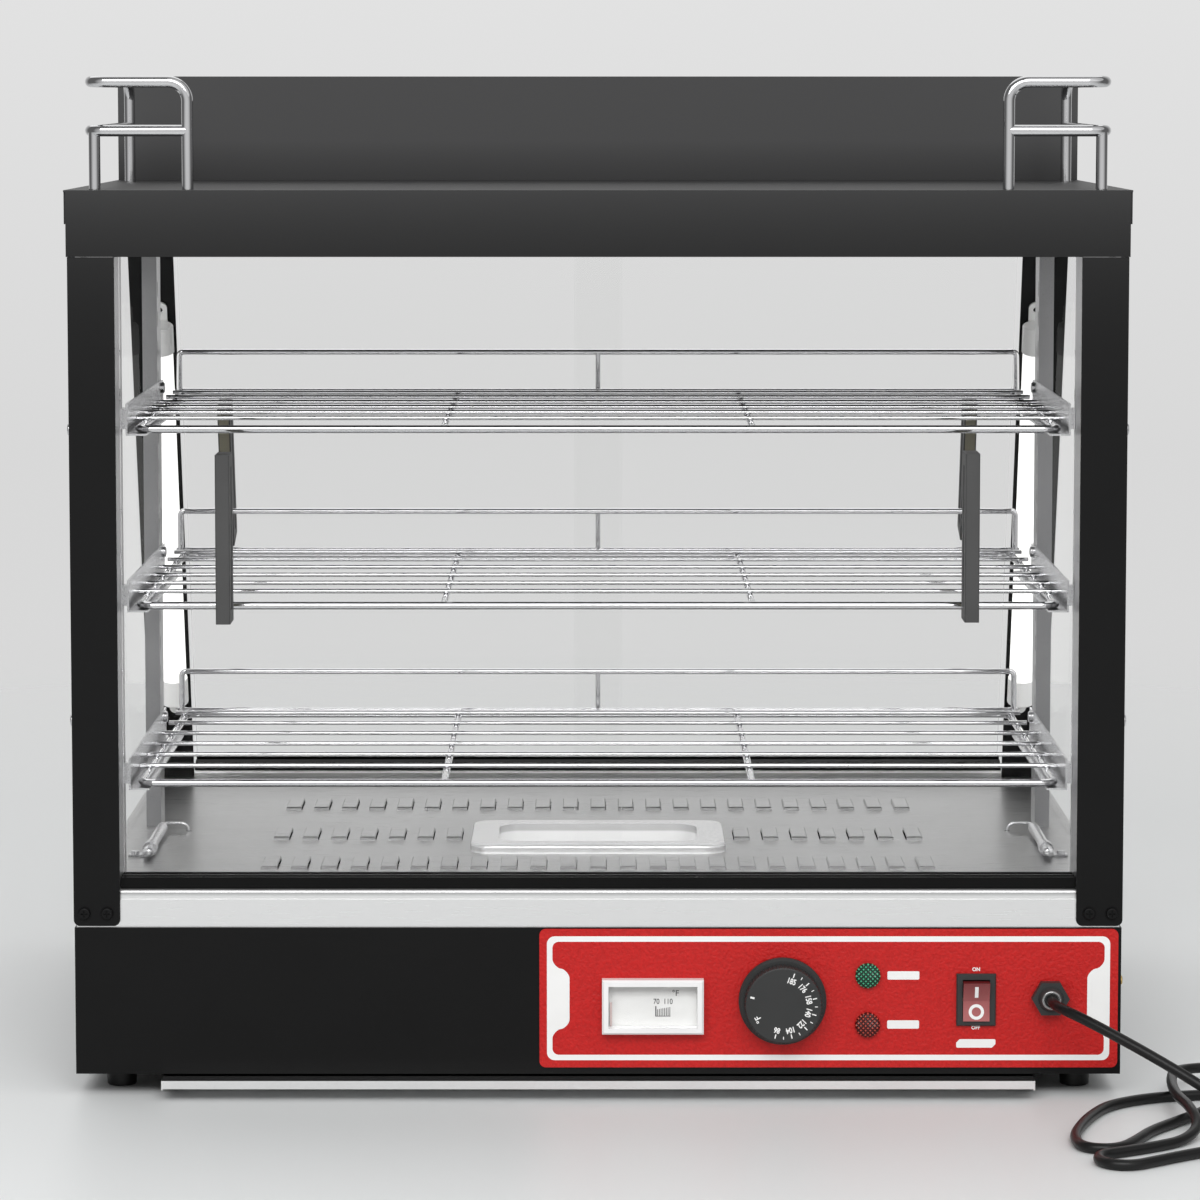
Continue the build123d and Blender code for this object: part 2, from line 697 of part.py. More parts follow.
# Slotted standards at the sides
slot_count = int((cabinet_top - floor_level - 30) / standard_slot_pitch)
web_x = (standard_inner_x, standard_inner_x + sheet)
standard = block(standard_inner_x, standard_inner_x + standard_depth, standard_front,
                 standard_front + standard_face, floor_level + 0.05, cabinet_top - 0.05)
standard -= block(web_x[1], standard_inner_x + standard_depth, standard_front + sheet,
                  standard_front + standard_face - sheet, floor_level, cabinet_top)
standard -= [block(*web_x, standard_middle - 9, standard_middle - 6, z, z + 10)
             for z in (floor_level + 20 + i * standard_slot_pitch for i in range(slot_count))]
standard -= [rod_x(*web_x, standard_middle, level + pin_rise, shank_hole) for level in shelf_levels.values()]
parts["shelf_standards"] = Compound([standard, mirrored(standard)])

# Light tubes on the back posts, each held in two caps with a screw tab
lamp_n = -lamp_stand_off - lamp_cap_diameter / 2
lamp_high = lamp_low + lamp_length
cap_wall = 3.0
bore = lamp_diameter + 2 * 0.1


def lamp_cap(end, inward):
    """A cup over one end of the tube; inward is +1 at the low end and -1 at the high end."""
    far = end + inward * lamp_cap_length
    cup = rod_z(lamp_x, lamp_n, *sorted((end, far)), lamp_cap_diameter)
    cup = fillet(cup.edges().filter_by(GeomType.CIRCLE).sort_by_distance((lamp_x, lamp_n, end))[0], 1.5)
    cup -= rod_z(lamp_x, lamp_n, *sorted((end + inward * cap_wall, far)), bore)
    tab = block(lamp_x - 5, lamp_x + 5, -lamp_stand_off - 0.8, -fit_gap,
                *sorted((end - inward * 13, end + inward * (cap_wall - 0.2))))
    tab = fillet(tab.edges().filter_by(Axis.Y).sort_by(Axis.Z, reverse=inward < 0)[:2], 4.5)
    hole = rod_y(lamp_x, -lamp_cap_diameter, 0, end - inward * 7.5, screw_shank)
    return cup + (tab - hole)


tube = rod_z(lamp_x, lamp_n, lamp_low + cap_wall, lamp_high - cap_wall, lamp_diameter)
caps = [lamp_cap(lamp_low, 1), lamp_cap(lamp_high, -1)]
lamp_tube = slope * tube
parts["light_tubes"] = Compound([lamp_tube, mirrored(lamp_tube)])
caps = [slope * cap for cap in caps]
parts["light_caps"] = Compound(caps + [mirrored(cap) for cap in caps])

# Temperature sensors along the foot of each side, with their clips
bulb_z = floor_level + bulb_height
bulb = rod_y(bulb_x, bulb_front, bulb_front + bulb_length, bulb_z, bulb_diameter)
bulb = fillet(bulb.edges().filter_by(GeomType.CIRCLE), bulb_diameter / 2 - 0.4)
bulb_end = bulb_front + bulb_length
bulb += wire([(bulb_x, bulb_end - 2, bulb_z), (bulb_x, capillary_hole_y, bulb_z),
              (capillary_hole_x, capillary_hole_y, bulb_z),
              (capillary_hole_x, capillary_hole_y, base_top + 6)], 5, capillary_diameter)
parts["sensor_bulbs"] = Compound([bulb, mirrored(bulb)])

clip_y = bulb_front + 14
clip_width = 9.0
clip_ring = bulb_diameter + 2.4
clip = rod_y(bulb_x, clip_y, clip_y + clip_width, bulb_z, clip_ring)
clip += block(bulb_x, bulb_x + 14, clip_y, clip_y + clip_width, floor_level + 0.05, floor_level + 1.4)
clip += block(bulb_x + bulb_diameter / 2, bulb_x + clip_ring / 2, clip_y, clip_y + clip_width,
              floor_level + 0.05, bulb_z)
clip -= rod_y(bulb_x, clip_y, clip_y + clip_width, bulb_z, bulb_diameter + 0.2)
clip += rod_z(bulb_x + 10, clip_y + clip_width / 2, floor_level + 1, floor_level + 3.2, 5.5)
parts["sensor_clips"] = Compound([clip, mirrored(clip)])

# Heating elements in the base, the saddles they lie on, and the terminal block
heater_far_x = half_base - heater_side_gap
heater = wire([(heater_near_x, heater_front, heater_level), (heater_far_x, heater_front, heater_level),
               (heater_far_x, heater_back, heater_level), (heater_near_x, heater_back, heater_level)],
              heater_bend, heater_diameter)
parts["heating_elements"] = Compound([heater, mirrored(heater)])
saddle_x = (heater_near_x + heater_far_x) / 2
saddle_ends = (saddle_x - saddle_half, saddle_x + saddle_half)
saddle_top = heater_level - heater_diameter / 2 + 1
saddles = [block(*saddle_ends, y - saddle_half, y + saddle_half, plate_top, saddle_top)
           - rod_x(*saddle_ends, y, heater_level, heater_diameter + 0.2)
           for y in (heater_front, heater_back)]
parts["heater_saddles"] = Compound(saddles + [mirrored(s) for s in saddles])

terminal_right = half_base - terminal_side_gap
terminal_top = plate_top + terminal_height
terminal = block(terminal_right - terminal_width, terminal_right, terminal_front,
                 terminal_front + terminal_depth, plate_top, terminal_top)
terminal -= [rod_z(terminal_right - terminal_width / 2 + (i - 1.5) * terminal_pitch,
                   terminal_front + terminal_depth / 2, terminal_top - terminal_height * 2 / 3,
                   terminal_top, terminal_bore) for i in range(4)]
parts["terminal_block"] = terminal

# Control panel
plate = panel_plate(panel_left, panel_right, panel_low, panel_high, -panel_sheet, 0, panel_corner)
parts["control_panel"] = plate - panel_holes(-panel_sheet, 0)

# Thermometer: a bezel with a body behind the panel, its dial, its pointer and its window
case_half_w = thermometer_width / 2
case_half_h = thermometer_height / 2
body_half_w = case_half_w - thermometer_cut
body_half_h = case_half_h - thermometer_cut
bezel_front = -panel_sheet - thermometer_stand


def thermometer_block(half_w, half_h, y0, y1):
    """A box that is centred on the thermometer."""
    return block(thermometer_x - half_w, thermometer_x + half_w, y0, y1,
                 thermometer_z - half_h, thermometer_z + half_h)


bezel = thermometer_block(case_half_w, case_half_h, bezel_front, -panel_sheet)
bezel = chamfer(bezel.edges().group_by(Axis.Y)[0], 1.2)
case = bezel + thermometer_block(body_half_w, body_half_h, -panel_sheet, thermometer_body_depth)
window_w = case_half_w - thermometer_rim
window_h = case_half_h - thermometer_rim
dial_y = -panel_sheet
case -= thermometer_block(window_w, window_h, bezel_front, dial_y + 1)
parts["thermometer_case"] = case
parts["thermometer_dial"] = thermometer_block(window_w - 0.1, window_h - 0.1, dial_y, dial_y + 0.95)
lens_y = bezel_front + 1.4
parts["thermometer_lens"] = thermometer_block(window_w - 0.1, window_h - 0.1, lens_y, lens_y + 1.2)
pointer_rest = 1.6
pointer_x = thermometer_x - window_w + pointer_rest
pointer = block(pointer_x - 0.6, pointer_x + 0.6, dial_y - 1.4, dial_y - 0.2,
                thermometer_z - window_h + 0.3, thermometer_z + 2)
parts["thermometer_pointer"] = pointer

# Thermostat, its shaft and its knob
skirt_back = -panel_sheet - knob_gap
cap_back = skirt_back - knob_skirt
knob = rod_y(knob_x, cap_back, skirt_back, knob_z, knob_diameter)
knob = chamfer(knob.edges().group_by(Axis.Y)[0], 1.5)
cap = rod_y(knob_x, knob_front, cap_back, knob_z, knob_cap_diameter)
cap = fillet(cap.edges().group_by(Axis.Y)[0], 1.6)
flute_at = knob_cap_diameter / 2 + 0.5
cap -= [rod_y(knob_x + flute_at * math.cos(a), knob_front, cap_back, knob_z + flute_at * math.sin(a), 2.4)
        for a in (2 * math.pi * i / knob_flutes for i in range(knob_flutes))]
knob = knob + cap - rod_y(knob_x, knob_front + 5, skirt_back, knob_z, shaft_diameter)
parts["thermostat_knob"] = knob
bushing = shaft_diameter + 4
body_front = sheet + 0.1
body = block(knob_x - 18, knob_x + 18, body_front, body_front + 28, knob_z - 20, knob_z + 20)
body = fillet(body.edges().filter_by(Axis.Y), 5)
body += rod_y(knob_x, -panel_sheet, body_front, knob_z, bushing)
shaft_back = body_front + 12
parts["thermostat_body"] = body - rod_y(knob_x, -panel_sheet, shaft_back, knob_z, shaft_diameter + 0.12)
parts["thermostat_shaft"] = rod_y(knob_x, knob_front + 5, shaft_back - 0.2, knob_z, shaft_diameter)


def indicator(z):
    """A pilot lamp: a domed lens on a flange, with its body through the panel."""
    flange = rod_y(lamp_lens_x, -panel_sheet - 2, -panel_sheet, z, lens_diameter)
    dome = rod_y(lamp_lens_x, -panel_sheet - lens_rise, -panel_sheet - 2, z, lens_diameter - 1.6)
    dome = fillet(dome.edges().group_by(Axis.Y)[0], 2.6)
    return flange + dome + rod_y(lamp_lens_x, -panel_sheet, 22, z, lens_body_diameter)


parts["power_lamp"] = indicator(power_lamp_z)
parts["heating_lamp"] = indicator(heating_lamp_z)

# Rocker switch
pivot_y = -1.2
rim_front = -panel_sheet - switch_rim


def switch_block(width, height, y0, y1):
    """A box that is centred on the switch."""
    return block(switch_x - width / 2, switch_x + width / 2, y0, y1,
                 switch_z - height / 2, switch_z + height / 2)


well_width = rocker_width + 0.6
well_height = rocker_height + 0.8
rim_solid = switch_block(switch_width, switch_height, rim_front, -panel_sheet)
rim_solid = chamfer(rim_solid.edges().group_by(Axis.Y)[0], 0.8)
switch = rim_solid + switch_block(switch_body_width, switch_body_height, -panel_sheet, switch_depth)
switch -= switch_block(well_width, well_height, rim_front, 9)
pin_diameter = 2.4
pin_reach = well_width / 2 + 1.4
switch -= rod_x(switch_x - pin_reach - 0.1, switch_x + pin_reach + 0.1, pivot_y, switch_z, pin_diameter + 0.1)
parts["switch_body"] = switch
rocker_end = rocker_height / 2
rocker_outline = Plane.YZ * make_face(Polyline(
    (-3.2, 0), (-5.6, rocker_end), (2.5, rocker_end - 0.8), (6.0, 0), (2.5, -rocker_end + 0.8),
    (-5.6, -rocker_end), close=True))
rocker = Pos(-rocker_width / 2, 0, 0) * extrude(rocker_outline, rocker_width)
rocker += rod_x(-pin_reach, pin_reach, 0, 0, pin_diameter)
parts["switch_rocker"] = Pos(switch_x, pivot_y, switch_z) * Rot(rocker_tilt, 0, 0) * rocker

# Cable gland
hex_front = -panel_sheet - gland_hex
hex_corner = gland_flats / math.sqrt(3)
nose_front = cord_route[0][1]
hex_face = Plane.XZ * Pos(gland_x, gland_z) * RegularPolygon(hex_corner, 6)
gland = Pos(0, -panel_sheet, 0) * extrude(hex_face, gland_hex)
nose = Pos(gland_x, (nose_front + hex_front) / 2, gland_z) * Rot(90, 0, 0) * Cone(
    gland_nose / 2, gland_nose / 2 - 1.6, hex_front - nose_front)
gland += nose
gland += rod_y(gland_x, -panel_sheet, 16, gland_z, gland_thread)
locknut = Pos(0, sheet + gland_hex, 0) * extrude(hex_face, gland_hex - 0.1)
parts["cable_gland"] = gland + locknut

# Screws: dark ones on the posts and the top, bright ones on the post sides and in the standards


def screw(direction, diameter=screw_head):
    """A pan-head screw at the origin whose head stands out along direction."""
    head = Pos(0, 0, screw_rise / 2) * Cylinder(diameter / 2, screw_rise)
    head = fillet(head.edges().group_by(Axis.Z)[-1], 1.0)
    slot = diameter * 0.55
    head -= [Pos(0, 0, screw_rise) * Box(*size, 2) for size in ((slot, 0.9), (0.9, slot))]
    shank = Pos(0, 0, -screw_shank_length / 2) * Cylinder(screw_shank / 2, screw_shank_length)
    turn = {"-Y": Rot(90, 0, 0), "+X": Rot(0, 90, 0), "-X": Rot(0, -90, 0)}[direction]
    return turn * (head + shank)


dark = [Pos(side * x, 0, post_screw_z) * screw("-Y") for side in (-1, 1) for x in post_screw_x]
dark += [Pos(box_half, y, top_screw_z) * screw("+X") for y in top_screw_y]
dark += [Pos(-box_half, y, top_screw_z) * screw("-X") for y in top_screw_y]
parts["dark_screws"] = Compound(dark)
bright = [Pos(post_outer, side_screw_y, z) * screw("+X") for z in side_screw_z]
bright += [mirrored(s) for s in bright]
pins = [Pos(support_inner, standard_middle, level + pin_rise) * screw("-X")
        for level in shelf_levels.values()]
parts["bright_screws"] = Compound(bright + pins + [mirrored(p) for p in pins])
parts["earth_screw"] = Pos(half_base, earth_y, earth_z) * screw("+X", 6.0)


# Mains cord: straight runs joined by arcs as large as the runs allow
def cord_path(points):
    """The cord's centre line and the radius of each of its bends."""
    spots = [Vector(*p) for p in points]
    radii = []
    for a, b, c in zip(spots, spots[1:], spots[2:]):
        turn = math.radians((b - a).get_angle(c - b))
        radii.append(0.45 * min((b - a).length, (c - b).length) / math.tan(turn / 2))
    return FilletPolyline(*points, radius=radii), radii


cord_points = [(gland_x + x, y, z) for x, y, z in cord_route]
path, radii = cord_path(cord_points)
cord = sweep(Plane(origin=path @ 0, z_dir=path % 0) * Circle(cord_diameter / 2), path=path)
parts["power_cord"] = cord
section = math.pi * cord_diameter ** 2 / 4
fullness = cord.volume / section / path.length
print(f"cord length {path.length:.0f} mm, volume over section times length {fullness:.4f}")
print("cord radii", " ".join(f"{r:.0f}" for r in radii))

# Plug at the cord's end
end_x, end_y, end_z = cord_points[-1]
relief_end = end_x + plug_relief
plug_end = relief_end + plug_length
relief = Pos((end_x + relief_end) / 2, end_y, end_z) * Rot(0, 90, 0) * Cone(
    cord_diameter / 2 + 0.9, plug_relief_diameter / 2, plug_relief)
grip = block(relief_end - 0.5, plug_end, end_y - plug_width / 2, end_y + plug_width / 2,
             end_z - plug_height / 2, end_z + plug_height / 2)
grip = fillet(grip.edges().filter_by(Axis.X), 5)
grip = fillet(grip.edges().group_by(Axis.X)[0], 4)
parts["plug_body"] = grip + relief
blades = [block(plug_end, plug_end + blade_length, end_y + side * blade_spacing / 2 - blade_thickness / 2,
                end_y + side * blade_spacing / 2 + blade_thickness / 2,
                end_z + 3 - blade_height / 2, end_z + 3 + blade_height / 2) for side in (-1, 1)]
blades.append(rod_x(plug_end, plug_end + blade_length + 2, end_y, end_z - 5.6, earth_pin_diameter))
parts["plug_blades"] = Compound(blades)

# Move everything so that the origin is the middle of the footprint, and write it
os.makedirs("parts", exist_ok=True)
for name, piece in parts.items():
    export_step(Pos(0, front_y, 0) * piece, f"parts/{name}.step")
print(f"{len(parts)} nodes, front plane at y {front_y:.2f}, lean {lean:.3f} degrees")
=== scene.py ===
"""Looks of a countertop food warmer: its camera, mains cord, light, finishes and printed pieces.

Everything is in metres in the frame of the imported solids: X to the right, Y to the back, Z up, and the
counter at Z = 0. Places and sizes on the front are in millimetres, as the part's source gives them.
"""

import json
import math

import bmesh
import bpy
import numpy as np
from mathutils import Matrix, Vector


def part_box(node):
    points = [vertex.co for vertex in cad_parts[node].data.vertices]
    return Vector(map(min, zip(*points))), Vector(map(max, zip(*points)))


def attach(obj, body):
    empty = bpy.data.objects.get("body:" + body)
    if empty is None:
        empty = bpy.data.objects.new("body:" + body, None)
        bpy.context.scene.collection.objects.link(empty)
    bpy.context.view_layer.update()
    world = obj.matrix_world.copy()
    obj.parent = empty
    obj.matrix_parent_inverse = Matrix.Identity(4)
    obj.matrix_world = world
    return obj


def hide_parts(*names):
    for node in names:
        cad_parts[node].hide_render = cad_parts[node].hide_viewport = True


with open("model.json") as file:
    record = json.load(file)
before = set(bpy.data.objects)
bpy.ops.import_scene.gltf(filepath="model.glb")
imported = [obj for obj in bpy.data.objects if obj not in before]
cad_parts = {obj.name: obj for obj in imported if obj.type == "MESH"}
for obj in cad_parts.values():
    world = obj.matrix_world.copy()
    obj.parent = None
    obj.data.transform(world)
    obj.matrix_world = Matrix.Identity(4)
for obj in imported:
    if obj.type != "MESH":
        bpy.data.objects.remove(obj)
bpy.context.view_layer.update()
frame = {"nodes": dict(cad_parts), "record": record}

MM = 0.001
FULL_TURN = 2.0 * math.pi
nodes = frame["nodes"]
slot_of = {entry["node"]: entry["material_slot"] for entry in frame["record"]["subparts"]}

# The red panel's face, and the front plane of the posts behind it
PANEL_PROUD = 1.0 * MM
PANEL_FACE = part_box("control_panel")[0].y
FRONT = PANEL_FACE + PANEL_PROUD

# Camera, fitted to the posts, shelves and base of the photograph
FRAME_PIXELS = 1200.0
FOCAL_PIXELS = 4399.0
SENSOR = 36.0
CAMERA_SIDE = -0.0013
CAMERA_BEFORE_FRONT = 2.721
CAMERA_HEIGHT = 0.629
CAMERA_PITCH = math.radians(5.049)
CAMERA_SHIFT = (0.0033, -0.10)

# Mains cord: its route in millimetres, with Y counted from the front plane
CORD_DIAMETER = 6.6 * MM
CORD_SPLINE_ORDER = 3
CORD_STEPS = 10
CORD_ROUNDNESS = 6
CORD_ROUTE = (
    (283.4, -11, 63), (283.4, -22.5, 63), (288.5, -34, 62), (301, -46, 58), (326, -62, 47),
    (354, -77, 33), (380, -89.5, 18), (404, -97, 7), (432, -96, 3.4), (455, -77, 3.4),
    (462, -47, 3.4), (448, -16, 3.4), (416, -3, 3.4), (380, -12, 3.4), (346, -19, 3.4),
    (316, -40, 3.4), (301, -71, 3.4), (291, -101, 3.4), (286, -124, 3.4), (287, -146, 3.4),
    (297, -154, 3.4), (310.5, -152, 3.4), (322, -133, 3.4), (334, -108, 3.4), (355, -81, 3.4),
    (377, -55, 4.4), (392, -36, 9), (407, -20, 12.6), (423, 3, 12.6), (416, 31, 10.4),
    (390, 40, 9.4), (366, 26, 10.6), (360, -2, 12.6), (357, -28, 12.6), (357, -57, 12.6),
    (361, -84, 12.6), (363, -111, 7), (351, -133, 3.4), (330, -149, 3.4), (312, -160, 3.4),
    (296.5, -168, 3.4), (293.5, -181, 3.4), (300.5, -192, 3.4), (313, -194, 3.4), (326, -184.5, 3.4),
    (346, -169, 3.4), (372, -153, 3.6), (399, -144, 6), (420, -140.5, 10), (440, -140.5, 10),
)

# Sockets of Blender's Mix node in its colour form
MIX_SHARE = 0
MIX_FIRST = 6
MIX_SECOND = 7
MIX_RESULT = 2

# The span that a noise pattern usually fills
NOISE_SPAN = (0.3, 0.7)

# Heights, in metres, between which painted light changes a finish's colour over to another
# painted light on the floor pan's sill and upstand
SILL_LIGHT_BAND = (0.1287, 0.1263)
UPSTAND_LIGHT_BAND = (0.1338, 0.1344)
# painted reflection in the water pan's basin, below the rim
PAN_BASIN_LIGHT_BAND = (0.1318, 0.1330)
# painted light on the black coat, greying it upwards
COAT_LIGHT_BAND = (0.0, 0.595)
COAT_LIGHT_POWER = 14.0
# painted highlight on the rocker's lower half
ROCKER_LIGHT_BAND = (0.050, 0.074)

# Back doors lean forward at the top by this much
LEAN = math.radians(18.452)

# Pads behind the handles
TAPE_GAP = 0.3 * MM
TAPE_EDGE = 1.0 * MM
TAPE_SPAN = (0.05, 0.95)

# Print on the red panel: the border as left, right, low and high, and the plates likewise
PRINT_THICKNESS = 0.1
FLAT_SECTION = PRINT_THICKNESS * np.array([1.0, 1.0, 0.0, 0.0])
BORDER_OUTER = (-32.1, 320.9, 22.9, 101.7)
BORDER_LINE = 3.45
BORDER_OUTER_RADIUS = 4.9
BORDER_INNER_RADIUS = 4.0
BORDER_ROWS = 361
TAB_DEPTH = 10.7
TAB_STRAIGHT = (49.0, 74.9)
TAB_FULL = (36.6, 87.4)
TAB_OVAL_SHARE = 0.6
LABEL_PLATES = (
    (181.4, 201.4, 74.25, 79.5, False),
    (181.4, 201.4, 43.0, 48.3, False),
    (224.8, 249.4, 30.9, 36.3, True),
)
PLATE_CORNER = 0.8
PLATE_CUT = 2.2
PLATE_ROWS = 33
SWITCH_WORDS = (("ON", 80.8), ("OFF", 43.7))
WORD_HEIGHT = 2.4
WORD_WEIGHT = 0.035

# Knob dial: angles are counter-clockwise from the right, seen from the front
KNOB_CENTRE = (115.6, 61.1)
DIAL_NUMBERS = ("86", "104", "122", "140", "158", "176", "185")
DIAL_START = math.radians(-104.5)
DIAL_STEP = math.radians(29.3)
DIAL_DASH = math.radians(165.5)
DIAL_UNIT = math.radians(209.0)
NUMBER_RADIUS = 16.2
NUMBER_HEIGHT = 3.8
NUMBER_WEIGHT = 0.03
NUMBER_SQUEEZE = 0.78
UNIT_RADIUS = 18.0
UNIT_HEIGHT = 4.0
UNIT_WEIGHT = 0.02
TICK_SPAN = (18.7, 21.4)
TICK_WIDTH = 0.7
HALF_TICK_SPAN = (19.6, 21.4)
HALF_TICK_WIDTH = 0.5
DASH_WIDTH = 1.2

# Thermometer scale: a tall first tick, then ticks that grow by a little, on a base line
SCALE_FOOT = 51.2
SCALE_START = 36.2
SCALE_PITCH = 1.1
SCALE_STEPS = 8
FIRST_TICK_WIDTH = 0.8
FIRST_TICK_RISE = 6.2
SCALE_TICK_WIDTH = 0.45
SCALE_TICK_RISE = 4.0
SCALE_TICK_GROWTH = 0.2
BASE_LINE_WIDTH = 9.6
BASE_LINE_RISE = 0.4
SCALE_NUMBERS = (("70", 36.6), ("110", 44.2))
SCALE_NUMBER_Z = 60.4
SCALE_NUMBER_HEIGHT = 3.5
SCALE_NUMBER_SQUEEZE = 0.82
SCALE_UNIT = (48.6, 65.8)
SCALE_UNIT_HEIGHT = 3.8

# Indicator lamps
LAMP_X = 169.1
LAMP_RADIUS = 7.9
LAMP_RISE = 5.0
POWER_LAMP_Z = 76.9
HEATING_LAMP_Z = 45.6
LENS_CELL = 2.1
LENS_WALL = 1.6
LENS_PYRAMID = 0.6
LENS_SHOULDER = 0.96
LENS_ROWS = 56
LENS_COLUMNS = 144
# span over which each lens cell goes from painted shade at its edges to a painted highlight in its middle
LENS_HIGHLIGHT_SPAN = (0.20, 0.46)
LENS_SMOOTH_ANGLE = 12.0

# Switch and gland
SWITCH = (237.0, 61.6)
ROCKER_PIVOT = -1.2
ROCKER_TILT = math.radians(9.0)
ROCKER_RIDGE = 3.2
ROCKER_SLOPE = 0.192
ROCKER_BAR_WIDTH = 2.2
ROCKER_BAR_HALF = 3.8
ROCKER_BAR_UP = 6.4
ROCKER_RING = (2.9, 4.8)
ROCKER_RING_UP = -6.6
RING_COLUMNS = 64
GLAND = (283.4, 63.0)
GLAND_NOSE = 11.0
COLLET_RADIUS = 4.9
COLLET_HALF_WIDTH = 1.2
COLLET_HALF_DEPTH = 0.9
COLLET_INSET = 1.0
COLLET_ROWS = 72
COLLET_COLUMNS = 16
COLLET_SMOOTH_ANGLE = 80.0

# Floor, which fades out between two distances from the object's middle
FLOOR_REACH = 8.0
FLOOR_ROWS = 3
FLOOR_COLUMNS = 96
FLOOR_COLOUR = (0.70, 0.712, 0.712)
FLOOR_ROUGHNESS = 0.45
FLOOR_SPECULAR = 0.25
FLOOR_FADE = (0.7, 2.4)

# World: its even light, and by direction its levels in gloss and to the eye
WORLD_LIGHT = (0.55, 0.55, 0.55)
GLOSS_SPAN = (0.35, 0.95)
GLOSS_LEVELS = (0.16, 0.80)
SKY_SPAN = (-0.08, 0.03)
SKY_LEVELS = (0.69, 0.765)

# Lamps: the even lights as name, strength, azimuth, height and width in degrees
SOFT_BOX_SIZE = (2.6, 1.2)
SOFT_BOX_POWER = 46.0
SOFT_BOX_PLACE = (-0.3, -2.4, 1.85)
SOFT_BOX_AIM = (0.0, -0.1, 0.35)
EVEN_LIGHTS = (
    ("right_light", 0.5, 50.0, 45.0, 70.0),
    ("back_light", 0.6, 190.0, 55.0, 60.0),
)


def add_to_scene(thing):
    """Put an object into the scene."""
    bpy.context.scene.collection.objects.link(thing)


def make_camera():
    """Stand the photograph's camera before the front, pitched a little down."""
    data = bpy.data.cameras.new("photo_camera")
    data.sensor_width = SENSOR
    data.lens = SENSOR * FOCAL_PIXELS / FRAME_PIXELS
    data.shift_x, data.shift_y = CAMERA_SHIFT
    camera = bpy.data.objects.new("photo_camera", data)
    camera.location = (CAMERA_SIDE, FRONT - CAMERA_BEFORE_FRONT, CAMERA_HEIGHT)
    camera.rotation_euler = (math.pi / 2 - CAMERA_PITCH, 0, 0)
    add_to_scene(camera)
    bpy.context.scene.camera = camera


def make_cord():
    """Lay the mains cord: a round section carried along the smooth spline of the route's points."""
    points = np.array(CORD_ROUTE) * MM + (0.0, FRONT, 0.0)
    curve = bpy.data.curves.new("mains_cord", "CURVE")
    curve.dimensions = "3D"
    spline = curve.splines.new("NURBS")
    spline.points.add(len(points) - 1)
    spline.points.foreach_set("co", np.column_stack([points, np.ones(len(points))]).ravel())
    spline.order_u = CORD_SPLINE_ORDER
    spline.use_endpoint_u = True
    spline.resolution_u = CORD_STEPS
    curve.bevel_depth = CORD_DIAMETER / 2
    curve.bevel_resolution = CORD_ROUNDNESS
    curve.use_fill_caps = True
    cord = bpy.data.objects.new("mains_cord", curve)
    add_to_scene(cord)
    cord.data.materials.append(finishes["black_rubber"])
    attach(cord, "cabinet")
    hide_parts("power_cord")


def rgba(colour):
    """A colour with its full alpha."""
    return (*colour, 1.0)


def feed(tree, socket, value):
    """Link a node's output to an input socket, or set the socket to a plain value."""
    if isinstance(value, bpy.types.NodeSocket):
        tree.links.new(value, socket)
    else:
        socket.default_value = value


def calculate(tree, operation, *values):
    """The result of a Math node on plain values and outputs."""
    node = tree.nodes.new("ShaderNodeMath")
    node.operation = operation
    for socket, value in zip(node.inputs, values):
        feed(tree, socket, value)
    return node.outputs["Value"]


def remap(tree, value, span, levels=(0.0, 1.0), interpolation="LINEAR"):
    """Carry a value from one span to another, and hold it there at both ends."""
    node = tree.nodes.new("ShaderNodeMapRange")
    node.interpolation_type = interpolation
    node.inputs["From Min"].default_value, node.inputs["From Max"].default_value = span
    node.inputs["To Min"].default_value, node.inputs["To Max"].default_value = levels
    feed(tree, node.inputs["Value"], value)
    return node.outputs["Result"]


def mix_colours(tree, share, first, second):
    """Mix two colours, each plain or a node's output, by a share."""
    node = tree.nodes.new("ShaderNodeMix")
    node.data_type = "RGBA"
    feed(tree, node.inputs[MIX_SHARE], share)
    feed(tree, node.inputs[MIX_FIRST], first)
    feed(tree, node.inputs[MIX_SECOND], second)
    return node.outputs[MIX_RESULT]


def mix_shaders(tree, share, first, second):
    """Mix two shaders by a share."""
    node = tree.nodes.new("ShaderNodeMixShader")
    for socket, source in zip(node.inputs, (share, first, second)):
        feed(tree, socket, source)
    return node.outputs["Shader"]


def object_axis(tree, name):
    """One of a surface's Object coordinates, in metres."""
    place = tree.nodes.new("ShaderNodeTexCoord")
    axes = tree.nodes.new("ShaderNodeSeparateXYZ")
    feed(tree, axes.inputs["Vector"], place.outputs["Object"])
    return axes.outputs[name]


def pattern(tree, scale, stretch=(1.0, 1.0, 1.0)):
    """Noise at Object coordinates, with so many cells a metre along each axis times the stretch."""
    place = tree.nodes.new("ShaderNodeTexCoord")
    mapping = tree.nodes.new("ShaderNodeMapping")
    mapping.inputs["Scale"].default_value = stretch
    noise = tree.nodes.new("ShaderNodeTexNoise")
    noise.inputs["Scale"].default_value = scale
    feed(tree, mapping.inputs["Vector"], place.outputs["Object"])
    feed(tree, noise.inputs["Vector"], mapping.outputs["Vector"])
    return noise.outputs["Fac"]


def raise_grain(tree, shader, height, depth):
    """Bump the surface by a pattern, depth in metres."""
    bump = tree.nodes.new("ShaderNodeBump")
    bump.inputs["Distance"].default_value = depth
    feed(tree, bump.inputs["Height"], height)
    feed(tree, shader.inputs["Normal"], bump.outputs["Normal"])


def new_material(name):
    """A material with its tree and its Principled shader."""
    material = bpy.data.materials.new(name)
    material.use_nodes = True
    return material, material.node_tree, material.node_tree.nodes["Principled BSDF"]


def open_up(tree, shader, share):
    """Let light straight through a shader's surface by a share."""
    clear = tree.nodes.new("ShaderNodeBsdfTransparent")
    mixed = mix_shaders(tree, share, shader.outputs["BSDF"], clear.outputs["BSDF"])
    feed(tree, tree.nodes["Material Output"].inputs["Surface"], mixed)


